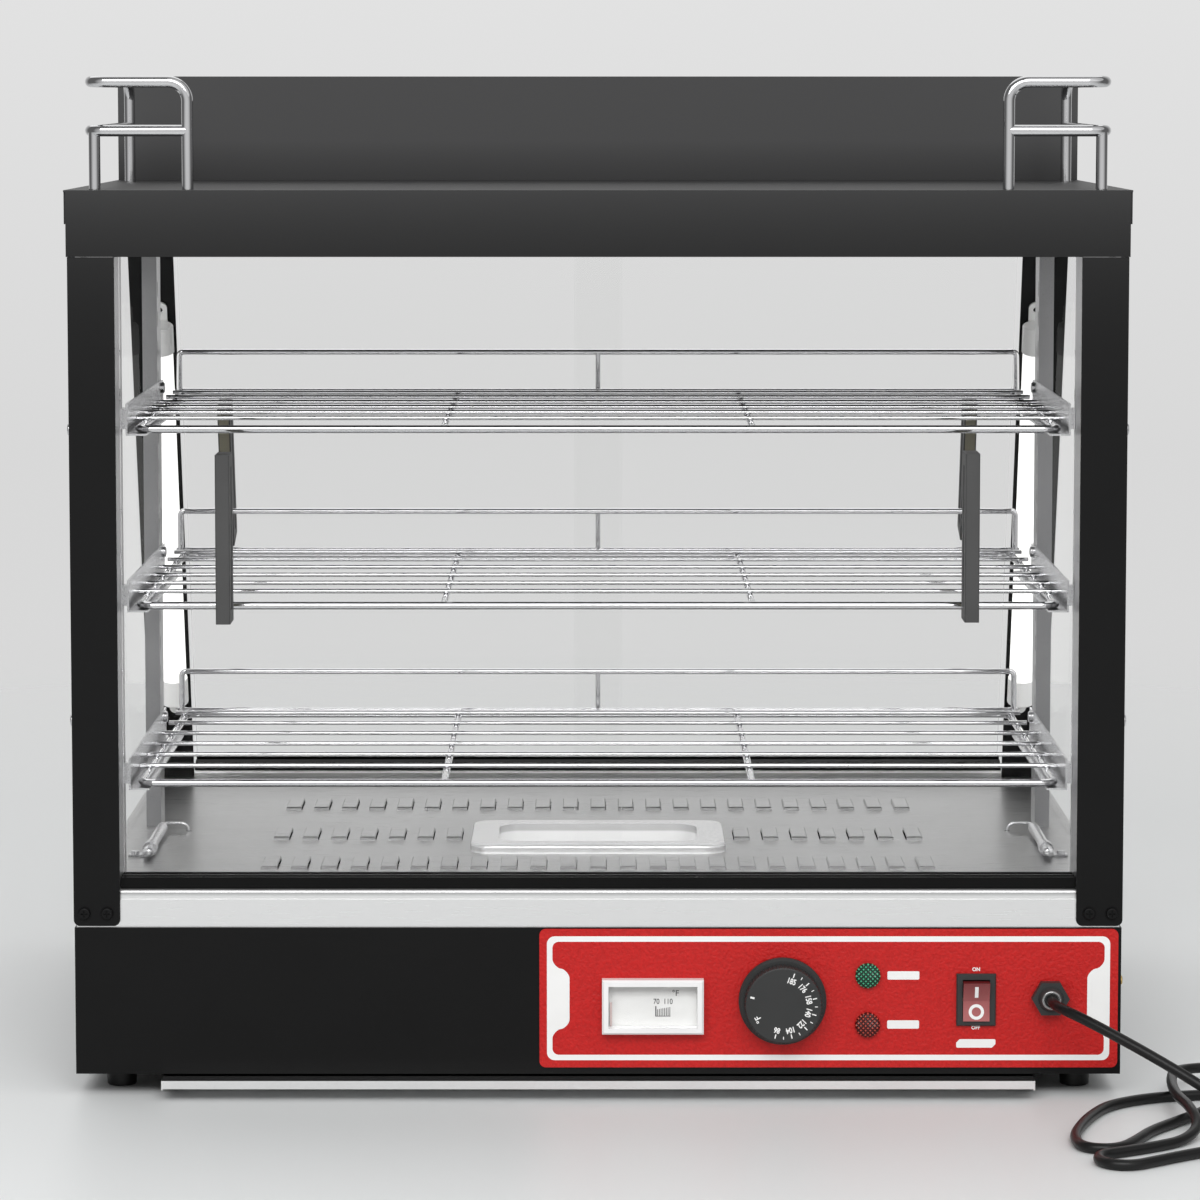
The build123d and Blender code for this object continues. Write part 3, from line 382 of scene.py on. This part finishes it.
def finish(name, colour, roughness, tone=0.08, play=0.05, broad=25.0, grain=900.0,
           stretch=(1.0, 1.0, 1.0), depth=0.0, **sockets):
    """A coat, moulding or metal: broad clouds in the colour, fine grain in the gloss and the relief."""
    material, tree, shader = new_material(name)
    dark = [c * (1.0 - tone) for c in colour]
    light = [min(1.0, c * (1.0 + tone)) for c in colour]
    clouds = remap(tree, pattern(tree, broad), NOISE_SPAN)
    feed(tree, shader.inputs["Base Color"], mix_colours(tree, clouds, rgba(dark), rgba(light)))
    fine = pattern(tree, grain, stretch)
    gloss = remap(tree, fine, NOISE_SPAN, (roughness - play, roughness + play))
    feed(tree, shader.inputs["Roughness"], gloss)
    if depth:
        raise_grain(tree, shader, fine, depth)
    for socket, value in sockets.items():
        shader.inputs[socket.replace("_", " ")].default_value = value
    return material


def clear_finish(name, colour, ior):
    """Glass, or a clear moulding: it throws no shadow, so that light comes in."""
    material, tree, shader = new_material(name)
    shader.inputs["Base Color"].default_value = rgba(colour)
    shader.inputs["Roughness"].default_value = 0.0
    shader.inputs["IOR"].default_value = ior
    shader.inputs["Transmission Weight"].default_value = 1.0
    light_path = tree.nodes.new("ShaderNodeLightPath")
    open_up(tree, shader, light_path.outputs["Is Shadow Ray"])
    return material


def paint_over(material, share, colour):
    """Carry a finish's colour over to another by a share."""
    tree = material.node_tree
    socket = tree.nodes["Principled BSDF"].inputs["Base Color"]
    usual = socket.links[0].from_socket
    feed(tree, socket, mix_colours(tree, share, usual, rgba(colour)))
    return material


def blend_by_height(material, band, colour, power=1.0):
    """Carry a finish's colour over to another up a band of heights, slowly at first by the power."""
    tree = material.node_tree
    share = remap(tree, object_axis(tree, "Z"), band)
    return paint_over(material, calculate(tree, "POWER", share, power), colour)


def floor_steel():
    """The floor pan's steel: satin and darker on the floor, with painted light that makes it bright on the
    sill below it and the upstand over it.
    """
    material = finish("floor_steel", (0.40, 0.40, 0.40), 0.30, tone=0.03, play=0.03, grain=1800.0,
                      stretch=(0.02, 1.0, 1.0), depth=0.000002, Metallic=1.0)
    # painted light: the sill and the upstand are painted brighter than the floor of the same steel
    blend_by_height(material, SILL_LIGHT_BAND, (0.79, 0.79, 0.79))
    return blend_by_height(material, UPSTAND_LIGHT_BAND, (0.95, 0.95, 0.95))


def pan_steel():
    """The water pan's polished steel, with a painted reflection that makes the basin bright, and greyer on
    the rim above the floor.
    """
    # painted reflection: the basin is painted near white, and the rim keeps a steel grey
    material = finish("pan_steel", (0.95, 0.95, 0.95), 0.20, tone=0.02, Metallic=0.6)
    return blend_by_height(material, PAN_BASIN_LIGHT_BAND, (0.62, 0.62, 0.62))


def black_coat():
    """Satin black powder coat, with painted light that greys it towards the top."""
    material = finish("black_coat", (0.0035, 0.0035, 0.0036), 0.46, grain=1100.0, depth=0.00003,
                      Specular_IOR_Level=0.16)
    # painted light: the coat is painted greyer towards the top, as the light from above falls off downward
    return blend_by_height(material, COAT_LIGHT_BAND, (0.066, 0.066, 0.067), COAT_LIGHT_POWER)


def rocker_finish():
    """Clear red moulding, deeper at the top, with a painted highlight that makes it paler at the lower end.
    """
    # painted highlight: the lower half is painted pale, as light catches it
    material = finish("rocker_red", (0.40, 0.11, 0.11), 0.20, tone=0.12, broad=60.0, Coat_Weight=0.4)
    return blend_by_height(material, ROCKER_LIGHT_BAND, (0.17, 0.016, 0.018))


def lens_finish(name, dark, bright, z):
    """A ribbed lens with painted highlights and shade: each cell of its diagonal lattice is painted bright in
    the middle and dark at its edges.
    """
    material = finish(name, dark, 0.22, tone=0.2, broad=300.0, Specular_IOR_Level=0.4)
    tree = material.node_tree
    across = object_axis(tree, "X")
    up = object_axis(tree, "Z")
    cells = 1.0 / (LENS_CELL * math.sqrt(2.0))
    folds = []
    for sign in (1.0, -1.0):
        diagonal = calculate(tree, "MULTIPLY_ADD", up, sign, across)
        count = calculate(tree, "MULTIPLY_ADD", diagonal, cells / MM, -(LAMP_X + sign * z) * cells)
        folds.append(calculate(tree, "PINGPONG", count, 0.5))
    nearest = calculate(tree, "MINIMUM", *folds)
    # painted highlights in each cell's middle, and painted shade at its edges
    return paint_over(material, remap(tree, nearest, LENS_HIGHLIGHT_SPAN), bright)


def make_finishes():
    """One material for each of the record's slots, and those of single pieces and of the print."""
    metal = {"Metallic": 1.0}
    dull = {"Specular_IOR_Level": 0.3}
    moulded = {"grain": 1300.0, "depth": 0.00002, **dull}
    return {
        "black_coat": black_coat(),
        "red_panel": finish("red_panel", (0.50, 0.010, 0.009), 0.45, tone=0.10, broad=520.0, grain=520.0,
                            depth=0.0007, **dull),
        "stainless": finish("stainless", (0.62, 0.62, 0.63), 0.27, tone=0.04, play=0.04, grain=2200.0,
                            depth=0.000002, **metal),
        "chrome": finish("chrome", (0.62, 0.62, 0.63), 0.08, tone=0.03, play=0.03, **metal),
        "glass": clear_finish("glass", (0.985, 0.986, 0.985), 1.006),
        "handle_grey": finish("handle_grey", (0.062, 0.062, 0.062), 0.55, **moulded),
        "black_plastic": finish("black_plastic", (0.033, 0.034, 0.034), 0.45, **moulded),
        "black_rubber": finish("black_rubber", (0.007, 0.007, 0.007), 0.38, grain=1200.0, depth=0.00002,
                               **dull),
        "lamp_white": finish("lamp_white", (0.86, 0.86, 0.84), 0.32, tone=0.02, Emission_Strength=0.9,
                             Emission_Color=(1.0, 1.0, 0.98, 1.0)),
        "cap_grey": finish("cap_grey", (0.84, 0.84, 0.83), 0.40, tone=0.03),
        "dial_white": finish("dial_white", (0.60, 0.60, 0.59), 0.50, tone=0.02),
        "case_silver": finish("case_silver", (0.84, 0.84, 0.84), 0.22, tone=0.03),
        "clear_window": clear_finish("clear_window", (0.99, 0.99, 0.99), 1.2),
        # painted shade: the pointer is tinted a pale grey, like the dial in shade
        "pointer_red": finish("pointer_red", (0.52, 0.40, 0.39), 0.40),
        # each lens's second colour is its painted highlight
        "green_lens": lens_finish("green_lens", (0.001, 0.030, 0.014), (0.10, 0.62, 0.34), POWER_LAMP_Z),
        "red_lens": lens_finish("red_lens", (0.050, 0.001, 0.001), (0.66, 0.10, 0.06), HEATING_LAMP_Z),
        "rocker_red": rocker_finish(),
        "brass": finish("brass", (0.72, 0.50, 0.20), 0.30, **metal),
        "heater_steel": finish("heater_steel", (0.40, 0.39, 0.38), 0.45, tone=0.15, **metal),
        "ceramic": finish("ceramic", (0.74, 0.71, 0.65), 0.45),
        "floor_steel": floor_steel(),
        "standard_steel": finish("standard_steel", (0.34, 0.34, 0.345), 0.32, tone=0.05, grain=2200.0,
                                 **metal),
        "mirror_steel": finish("mirror_steel", (0.90, 0.90, 0.90), 0.07, tone=0.03, play=0.02, **metal),
        "pan_steel": pan_steel(),
        "collet_gloss": finish("collet_gloss", (0.30, 0.30, 0.30), 0.14, tone=0.03, Metallic=0.8),
        "track_black": finish("track_black", (0.004, 0.004, 0.004), 0.50, Specular_IOR_Level=0.1),
        "white_print": finish("white_print", (0.86, 0.86, 0.85), 0.45, tone=0.03),
        "grey_print": finish("grey_print", (0.05, 0.05, 0.05), 0.45, tone=0.03),
        "pad_brown": finish("pad_brown", (0.16, 0.15, 0.11), 0.60, tone=0.12),
    }


# Nodes whose look differs from their slot's usual finish
OWN_FINISH = {
    "floor_pan": "floor_steel",
    "shelf_standards": "standard_steel",
    "front_uprights": "standard_steel",
    "crumb_tray": "mirror_steel",
    "water_pan": "pan_steel",
    "front_tracks": "track_black",
    "back_tracks": "track_black",
}


def dress_solids():
    """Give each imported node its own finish, or that of its slot."""
    for name, node in nodes.items():
        node.data.materials.clear()
        node.data.materials.append(finishes[OWN_FINISH.get(name, slot_of[name])])


def loft(loops, form="closed"):
    """Carry closed loops along a path: a (rows, columns, 3) array whose neighbours become faces.

    A closed form has a face at each end, a ring joins its last loop to its first, and an open form
    keeps its ends open."""
    rows, columns = loops.shape[:2]
    index = np.arange(rows * columns).reshape(rows, columns)
    ends = [index[0].tolist(), index[-1][::-1].tolist()] if form == "closed" else []
    around = np.hstack([index, index[:, :1]])
    if form == "ring":
        around = np.vstack([around, around[:1]])
    corners = (around[:-1, :-1], around[1:, :-1], around[1:, 1:], around[:-1, 1:])
    return loops.reshape(-1, 3), np.stack(corners, axis=-1).reshape(-1, 4).tolist() + ends


def strip(left, right, up):
    """A flat plate between two edges: at each height a slim oblong from the left edge to the right one.

    The result is in plate coordinates: across, up, and out of the surface."""
    across = np.stack([left, right, right, left], axis=-1)
    return loft(np.stack([across, np.broadcast_to(up[:, None], across.shape),
                          np.broadcast_to(FLAT_SECTION, across.shape)], axis=-1))


def mesh_points(mesh):
    """The places of a mesh's vertices, one to a row."""
    points = np.empty(len(mesh.vertices) * 3)
    mesh.vertices.foreach_get("co", points)
    return points.reshape(-1, 3)


def lettering(text, height, weight=0.012, squeeze=1.0):
    """Letters as flat solids about their own middle, in plate coordinates, thickened by their weight."""
    curve = bpy.data.curves.new("letters", "FONT")
    curve.body = text
    curve.extrude = 0.5
    curve.offset = weight
    holder = bpy.data.objects.new("letters", curve)
    add_to_scene(holder)
    mesh = bpy.data.meshes.new_from_object(holder)
    points = mesh_points(mesh)
    faces = [list(face.vertices) for face in mesh.polygons]
    low, high = points.min(axis=0), points.max(axis=0)
    points = (points - (low + high) / 2) * height / (high[1] - low[1])
    points[:, 0] *= squeeze
    points[:, 2] = np.where(points[:, 2] > 0, PRINT_THICKNESS, 0.0)
    bpy.data.objects.remove(holder)
    bpy.data.curves.remove(curve)
    bpy.data.meshes.remove(mesh)
    return points, faces


def turned(part, angle, radius=0.0):
    """Turn a plate part in its own plane, after moving it up by a radius."""
    points, faces = part
    across, up = points[:, 0], points[:, 1] + radius
    cos, sin = math.cos(angle), math.sin(angle)
    return np.stack([cos * across - sin * up, sin * across + cos * up, points[:, 2]], axis=-1), faces


def on_plane(part, x, z, y):
    """Stand a plate part upright on a plane that faces the front; x and z in millimetres, y in metres."""
    points, faces = part
    return np.stack([(x + points[:, 0]) * MM, y - points[:, 2] * MM, (z + points[:, 1]) * MM], axis=-1), faces


def make_piece(name, parts, finish_name, body, smooth_angle=30.0):
    """One object of several parts: doubles merged, faces turned outwards, round edges smoothed."""
    shape = bmesh.new()
    for points, faces in parts:
        part_mesh = bpy.data.meshes.new("part")
        part_mesh.from_pydata(points.tolist(), [], faces)
        shape.from_mesh(part_mesh)
        bpy.data.meshes.remove(part_mesh)
    bmesh.ops.remove_doubles(shape, verts=shape.verts, dist=1e-7)
    bmesh.ops.recalc_face_normals(shape, faces=shape.faces)
    mesh = bpy.data.meshes.new(name)
    shape.to_mesh(mesh)
    shape.free()
    mesh.polygons.foreach_set("use_smooth", np.ones(len(mesh.polygons), dtype=bool))
    mesh.set_sharp_from_angle(angle=math.radians(smooth_angle))
    mesh.materials.append(finishes[finish_name])
    piece = bpy.data.objects.new(name, mesh)
    add_to_scene(piece)
    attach(piece, body)
    return piece


def ease(value, start, end):
    """Smooth step from 0 at start to 1 at end."""
    t = np.clip((value - start) / (end - start), 0.0, 1.0)
    return t * t * (3.0 - 2.0 * t)


def swell(value, start, end):
    """An S of two quarter ovals from 0 at start to 1 at end, softened by a smooth step."""
    t = np.clip((value - start) / (end - start), 0.0, 1.0)
    near, far = np.clip(2.0 * t, 0.0, 1.0), np.clip(2.0 - 2.0 * t, 0.0, 1.0)
    arcs = np.where(t < 0.5, 0.5 - 0.5 * np.sqrt(1.0 - near * near), 0.5 + 0.5 * np.sqrt(1.0 - far * far))
    return TAB_OVAL_SHARE * arcs + (1.0 - TAB_OVAL_SHARE) * ease(value, start, end)


def corner_inset(up, low, high, radius):
    """How far a round corner draws a side edge in at each height."""
    short = np.clip(np.maximum(low + radius - up, up - high + radius), 0.0, radius)
    return radius - np.sqrt(radius * radius - short * short)


def panel_border():
    """White line round the panel, with a tab at each end that swells in between two S curves."""
    left, right, low, high = BORDER_OUTER
    inner_low, inner_high = low + BORDER_LINE, high - BORDER_LINE
    up = np.linspace(low, high, BORDER_ROWS)
    outer = corner_inset(up, low, high, BORDER_OUTER_RADIUS)
    rise = swell(up, TAB_FULL[0], TAB_STRAIGHT[0])
    fall = 1.0 - swell(up, TAB_STRAIGHT[1], TAB_FULL[1])
    rounded = corner_inset(up, inner_low, inner_high, BORDER_INNER_RADIUS)
    inner = BORDER_LINE + np.maximum(rounded, TAB_DEPTH * rise * fall)
    reach = BORDER_LINE + BORDER_INNER_RADIUS
    parts = [strip(left + outer, left + inner, up), strip(right - inner, right - outer, up)]
    for rows in ((low, inner_low), (inner_high, high)):
        parts.append(strip(np.full(2, left + reach), np.full(2, right - reach), np.array(rows)))
    return [on_plane(part, 0.0, 0.0, PANEL_FACE) for part in parts]


def label_plate(left, right, low, high, cut_corners):
    """A bare white plate with small round corners, or with two opposite corners cut off."""
    up = np.linspace(low, high, PLATE_ROWS)
    round_in = corner_inset(up, low, high, PLATE_CORNER)
    left_in = np.maximum(round_in, PLATE_CUT - (high - up)) if cut_corners else round_in
    right_in = np.maximum(round_in, PLATE_CUT - (up - low)) if cut_corners else round_in
    return on_plane(strip(left + left_in, right - right_in, up), 0.0, 0.0, PANEL_FACE)


def bar(width, low, high):
    """A straight mark: an oblong that stands on the middle line."""
    half = np.full(2, width / 2)
    return strip(-half, half, np.array([low, high]))


def hoop(inner, outer):
    """A flat ring: an oblong section carried round a circle."""
    angle = np.linspace(0.0, FULL_TURN, RING_COLUMNS, endpoint=False)[:, None]
    radius = np.array([inner, outer, outer, inner])
    out = np.broadcast_to(FLAT_SECTION, (RING_COLUMNS, len(FLAT_SECTION)))
    return loft(np.stack([radius * np.cos(angle), radius * np.sin(angle), out], axis=-1), "ring")


def make_panel_print():
    """The panel's border, its bare plates, and the two words by the switch."""
    make_piece("panel_border", panel_border(), "white_print", "cabinet")
    plates = [label_plate(*plate) for plate in LABEL_PLATES]
    make_piece("label_plates", plates, "white_print", "cabinet")
    words = [on_plane(lettering(word, WORD_HEIGHT, WORD_WEIGHT), SWITCH[0], z, PANEL_FACE)
             for word, z in SWITCH_WORDS]
    make_piece("switch_words", words, "white_print", "cabinet")


def make_dial_print():
    """Numbers and ticks on the knob's face, tops outwards, and the dash that stands for off."""
    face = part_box("thermostat_knob")[0].y
    quarter = math.pi / 2
    parts = []
    for place, number in enumerate(DIAL_NUMBERS):
        angle = DIAL_START + place * DIAL_STEP - quarter
        letters = lettering(number, NUMBER_HEIGHT, NUMBER_WEIGHT, NUMBER_SQUEEZE)
        parts.append(turned(letters, angle, NUMBER_RADIUS))
        parts.append(turned(bar(TICK_WIDTH, *TICK_SPAN), angle))
        if place < len(DIAL_NUMBERS) - 1:
            parts.append(turned(bar(HALF_TICK_WIDTH, *HALF_TICK_SPAN), angle + DIAL_STEP / 2))
    parts.append(turned(bar(DASH_WIDTH, *TICK_SPAN), DIAL_DASH - quarter))
    parts.append(turned(lettering("°F", UNIT_HEIGHT, UNIT_WEIGHT), DIAL_UNIT - quarter, UNIT_RADIUS))
    parts = [on_plane(part, *KNOB_CENTRE, face) for part in parts]
    make_piece("dial_print", parts, "white_print", "knob")


def make_thermometer_print():
    """A short plain scale on the thermometer's face: ticks below two numbers, and the unit above."""
    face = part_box("thermometer_dial")[0].y
    parts = []
    for step in range(1, SCALE_STEPS + 1):
        top = SCALE_FOOT + SCALE_TICK_RISE + SCALE_TICK_GROWTH * step
        tick = bar(SCALE_TICK_WIDTH, SCALE_FOOT, top)
        parts.append(on_plane(tick, SCALE_START + SCALE_PITCH * step, 0.0, face))
    first = bar(FIRST_TICK_WIDTH, SCALE_FOOT, SCALE_FOOT + FIRST_TICK_RISE)
    parts.append(on_plane(first, SCALE_START, 0.0, face))
    base_line = bar(BASE_LINE_WIDTH, SCALE_FOOT - BASE_LINE_RISE, SCALE_FOOT)
    parts.append(on_plane(base_line, SCALE_START + SCALE_PITCH * SCALE_STEPS / 2, 0.0, face))
    for text, x in SCALE_NUMBERS:
        number = lettering(text, SCALE_NUMBER_HEIGHT, squeeze=SCALE_NUMBER_SQUEEZE)
        parts.append(on_plane(number, x, SCALE_NUMBER_Z, face))
    parts.append(on_plane(lettering("°F", SCALE_UNIT_HEIGHT), *SCALE_UNIT, face))
    make_piece("thermometer_print", parts, "grey_print", "cabinet")


def on_rocker(part, up):
    """Lay a plate part on the rocker's face, which bends at its ridge and is tilted about its pin."""
    points, faces = part
    z = up + points[:, 1]
    y = -ROCKER_RIDGE - ROCKER_SLOPE * np.abs(z) - points[:, 2]
    cos, sin = math.cos(ROCKER_TILT), math.sin(ROCKER_TILT)
    across = (SWITCH[0] + points[:, 0]) * MM
    back = FRONT + (ROCKER_PIVOT + cos * y - sin * z) * MM
    return np.stack([across, back, (SWITCH[1] + sin * y + cos * z) * MM], axis=-1), faces


def make_rocker_marks():
    """The bar and the ring on the two halves of the rocker."""
    marks = [on_rocker(bar(ROCKER_BAR_WIDTH, -ROCKER_BAR_HALF, ROCKER_BAR_HALF), ROCKER_BAR_UP),
             on_rocker(hoop(*ROCKER_RING), ROCKER_RING_UP)]
    make_piece("rocker_marks", marks, "white_print", "rocker")


def lens_dome(z):
    """A low dome set with small pyramids on a diagonal lattice, over a short round wall.

    The wall is a circle carried outwards. Over it, at radius r and angle a, the height is an ellipse of r
    plus a pyramid that falls from the middle of each lattice cell to its edges."""
    angle = np.linspace(0.0, FULL_TURN, LENS_COLUMNS, endpoint=False)
    wall = np.array([0.0, LENS_WALL])
    share = np.linspace(LENS_SHOULDER, 0.0, LENS_ROWS)
    radius = np.concatenate([np.full(2, LAMP_RADIUS), share * LAMP_RADIUS])
    dome = LAMP_RISE - LENS_WALL - LENS_PYRAMID
    out = np.concatenate([wall, LENS_WALL + dome * np.sqrt(1.0 - share * share)])
    across = radius[:, None] * np.cos(angle)
    up = radius[:, None] * np.sin(angle)
    u = np.abs(2.0 * np.mod((across + up) / LENS_CELL / math.sqrt(2.0), 1.0) - 1.0)
    v = np.abs(2.0 * np.mod((across - up) / LENS_CELL / math.sqrt(2.0), 1.0) - 1.0)
    pyramid = LENS_PYRAMID * (1.0 - np.maximum(u, v))
    pyramid[:len(wall)] = 0.0
    loops = np.stack([across, up, out[:, None] + pyramid], axis=-1)
    return on_plane(loft(loops), LAMP_X, z, PANEL_FACE)


def make_lenses():
    """The two indicator lenses in place of their plain solids."""
    for name, z, colour in (("power_lamp", POWER_LAMP_Z, "green_lens"),
                            ("heating_lamp", HEATING_LAMP_Z, "red_lens")):
        lens = make_piece(name + "_lens", [lens_dome(z)], colour, "cabinet", LENS_SMOOTH_ANGLE)
        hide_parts(name)


def make_gland_collet():
    """The glossy ring of the gland's clamp round the cord: an oval section carried round the cord."""
    angle = np.linspace(0.0, FULL_TURN, COLLET_ROWS, endpoint=False)[:, None]
    turn = np.linspace(0.0, FULL_TURN, COLLET_COLUMNS, endpoint=False)
    radius = COLLET_RADIUS + COLLET_HALF_WIDTH * np.cos(turn)
    out = GLAND_NOSE - COLLET_INSET + COLLET_HALF_DEPTH * np.sin(turn)
    loops = np.stack([radius * np.cos(angle), radius * np.sin(angle),
                      np.broadcast_to(out, (COLLET_ROWS, COLLET_COLUMNS))], axis=-1)
    make_piece("gland_collet", [on_plane(loft(loops, "ring"), *GLAND, PANEL_FACE)],
               "collet_gloss", "cabinet", COLLET_SMOOTH_ANGLE)


def handle_tape(node, lean):
    """The sticky pad between a handle and its pane: a thin oblong as tall as the handle.

    Its depth runs through the pane and its height along it, and both lean by an angle."""
    points = mesh_points(nodes[node].data)
    cos, sin = math.cos(lean), math.sin(lean)
    depth = points[:, 1] * cos + points[:, 2] * sin
    height = points[:, 2] * cos - points[:, 1] * sin
    inside = depth.min() - TAPE_GAP if lean else depth.max()
    left, right = points[:, 0].min() + TAPE_EDGE, points[:, 0].max() - TAPE_EDGE
    low, high = height.min() + 2 * TAPE_EDGE, height.max() - 2 * TAPE_EDGE
    near, far = inside + TAPE_GAP * np.array(TAPE_SPAN)
    along = np.broadcast_to(np.array([[low], [high]]), (2, 4))
    through = np.broadcast_to([near, near, far, far], (2, 4))
    across = np.broadcast_to([left, right, right, left], (2, 4))
    return loft(np.stack([across, through * cos - along * sin, through * sin + along * cos], axis=-1))


def make_tapes():
    """A pad behind each of the four handles."""
    for row, lean in (("front", 0.0), ("back", LEAN)):
        for side in ("left", "right"):
            make_piece(f"{row}_tape_{side}", [handle_tape(f"{row}_handle_{side}", lean)], "pad_brown",
                       f"{row}_{side}_door")


def make_floor():
    """A pale floor that fades into the background: circles about the origin at even steps outwards."""
    radius = np.linspace(0.0, FLOOR_REACH, FLOOR_ROWS)[:, None]
    angle = np.linspace(0.0, FULL_TURN, FLOOR_COLUMNS, endpoint=False)
    level = np.zeros((FLOOR_ROWS, FLOOR_COLUMNS))
    points, faces = loft(np.stack([radius * np.cos(angle), radius * np.sin(angle), level], axis=-1), "open")
    mesh = bpy.data.meshes.new("floor")
    mesh.from_pydata(points.tolist(), [], faces)
    material, tree, shader = new_material("floor")
    shader.inputs["Base Color"].default_value = rgba(FLOOR_COLOUR)
    shader.inputs["Roughness"].default_value = FLOOR_ROUGHNESS
    shader.inputs["Specular IOR Level"].default_value = FLOOR_SPECULAR
    place = tree.nodes.new("ShaderNodeTexCoord")
    distance = tree.nodes.new("ShaderNodeVectorMath")
    distance.operation = "LENGTH"
    feed(tree, distance.inputs[0], place.outputs["Object"])
    open_up(tree, shader, remap(tree, distance.outputs["Value"], FLOOR_FADE, interpolation="SMOOTHSTEP"))
    mesh.materials.append(material)
    floor = bpy.data.objects.new("floor", mesh)
    add_to_scene(floor)


def make_world():
    """Pale grey to the eye and through glass, darker to the sides in gloss, and an even light otherwise."""
    world = bpy.data.worlds.new("studio")
    bpy.context.scene.world = world
    world.use_nodes = True
    tree = world.node_tree
    place = tree.nodes.new("ShaderNodeTexCoord")
    axes = tree.nodes.new("ShaderNodeSeparateXYZ")
    feed(tree, axes.inputs["Vector"], place.outputs["Generated"])
    lengthwise = calculate(tree, "ABSOLUTE", axes.outputs["Y"])
    light_path = tree.nodes.new("ShaderNodeLightPath")
    even = tree.nodes["Background"]
    even.inputs["Color"].default_value = rgba(WORLD_LIGHT)
    total = even.outputs["Background"]
    for kinds, value, span, levels in (
            (("Is Glossy Ray",), lengthwise, GLOSS_SPAN, GLOSS_LEVELS),
            (("Is Camera Ray", "Is Transmission Ray"), axes.outputs["Z"], SKY_SPAN, SKY_LEVELS)):
        ground = tree.nodes.new("ShaderNodeBackground")
        feed(tree, ground.inputs["Color"], remap(tree, value, span, levels))
        for kind in kinds:
            total = mix_shaders(tree, light_path.outputs[kind], total, ground.outputs["Background"])
    feed(tree, tree.nodes["World Output"].inputs["Surface"], total)


def make_lamps():
    """A wide soft box before and above the front, and two weak even lights from the right and from behind."""
    data = bpy.data.lights.new("soft_box", "AREA")
    data.shape = "RECTANGLE"
    data.size, data.size_y = SOFT_BOX_SIZE
    data.energy = SOFT_BOX_POWER
    box = bpy.data.objects.new("soft_box", data)
    box.location = SOFT_BOX_PLACE
    aim = Vector(SOFT_BOX_AIM) - box.location
    box.rotation_euler = aim.to_track_quat("-Z", "Y").to_euler()
    box.visible_camera = False
    add_to_scene(box)
    for name, strength, azimuth, height, width in EVEN_LIGHTS:
        data = bpy.data.lights.new(name, "SUN")
        data.energy = strength
        data.angle = math.radians(width)
        lamp = bpy.data.objects.new(name, data)
        lamp.rotation_euler = (math.radians(90.0 - height), 0.0, math.radians(azimuth))
        add_to_scene(lamp)


finishes = make_finishes()
make_camera()
make_cord()
dress_solids()
make_panel_print()
make_dial_print()
make_thermometer_print()
make_rocker_marks()
make_lenses()
make_gland_collet()
make_tapes()
make_floor()
make_world()
make_lamps()
bpy.context.scene.view_settings.view_transform = "Standard"
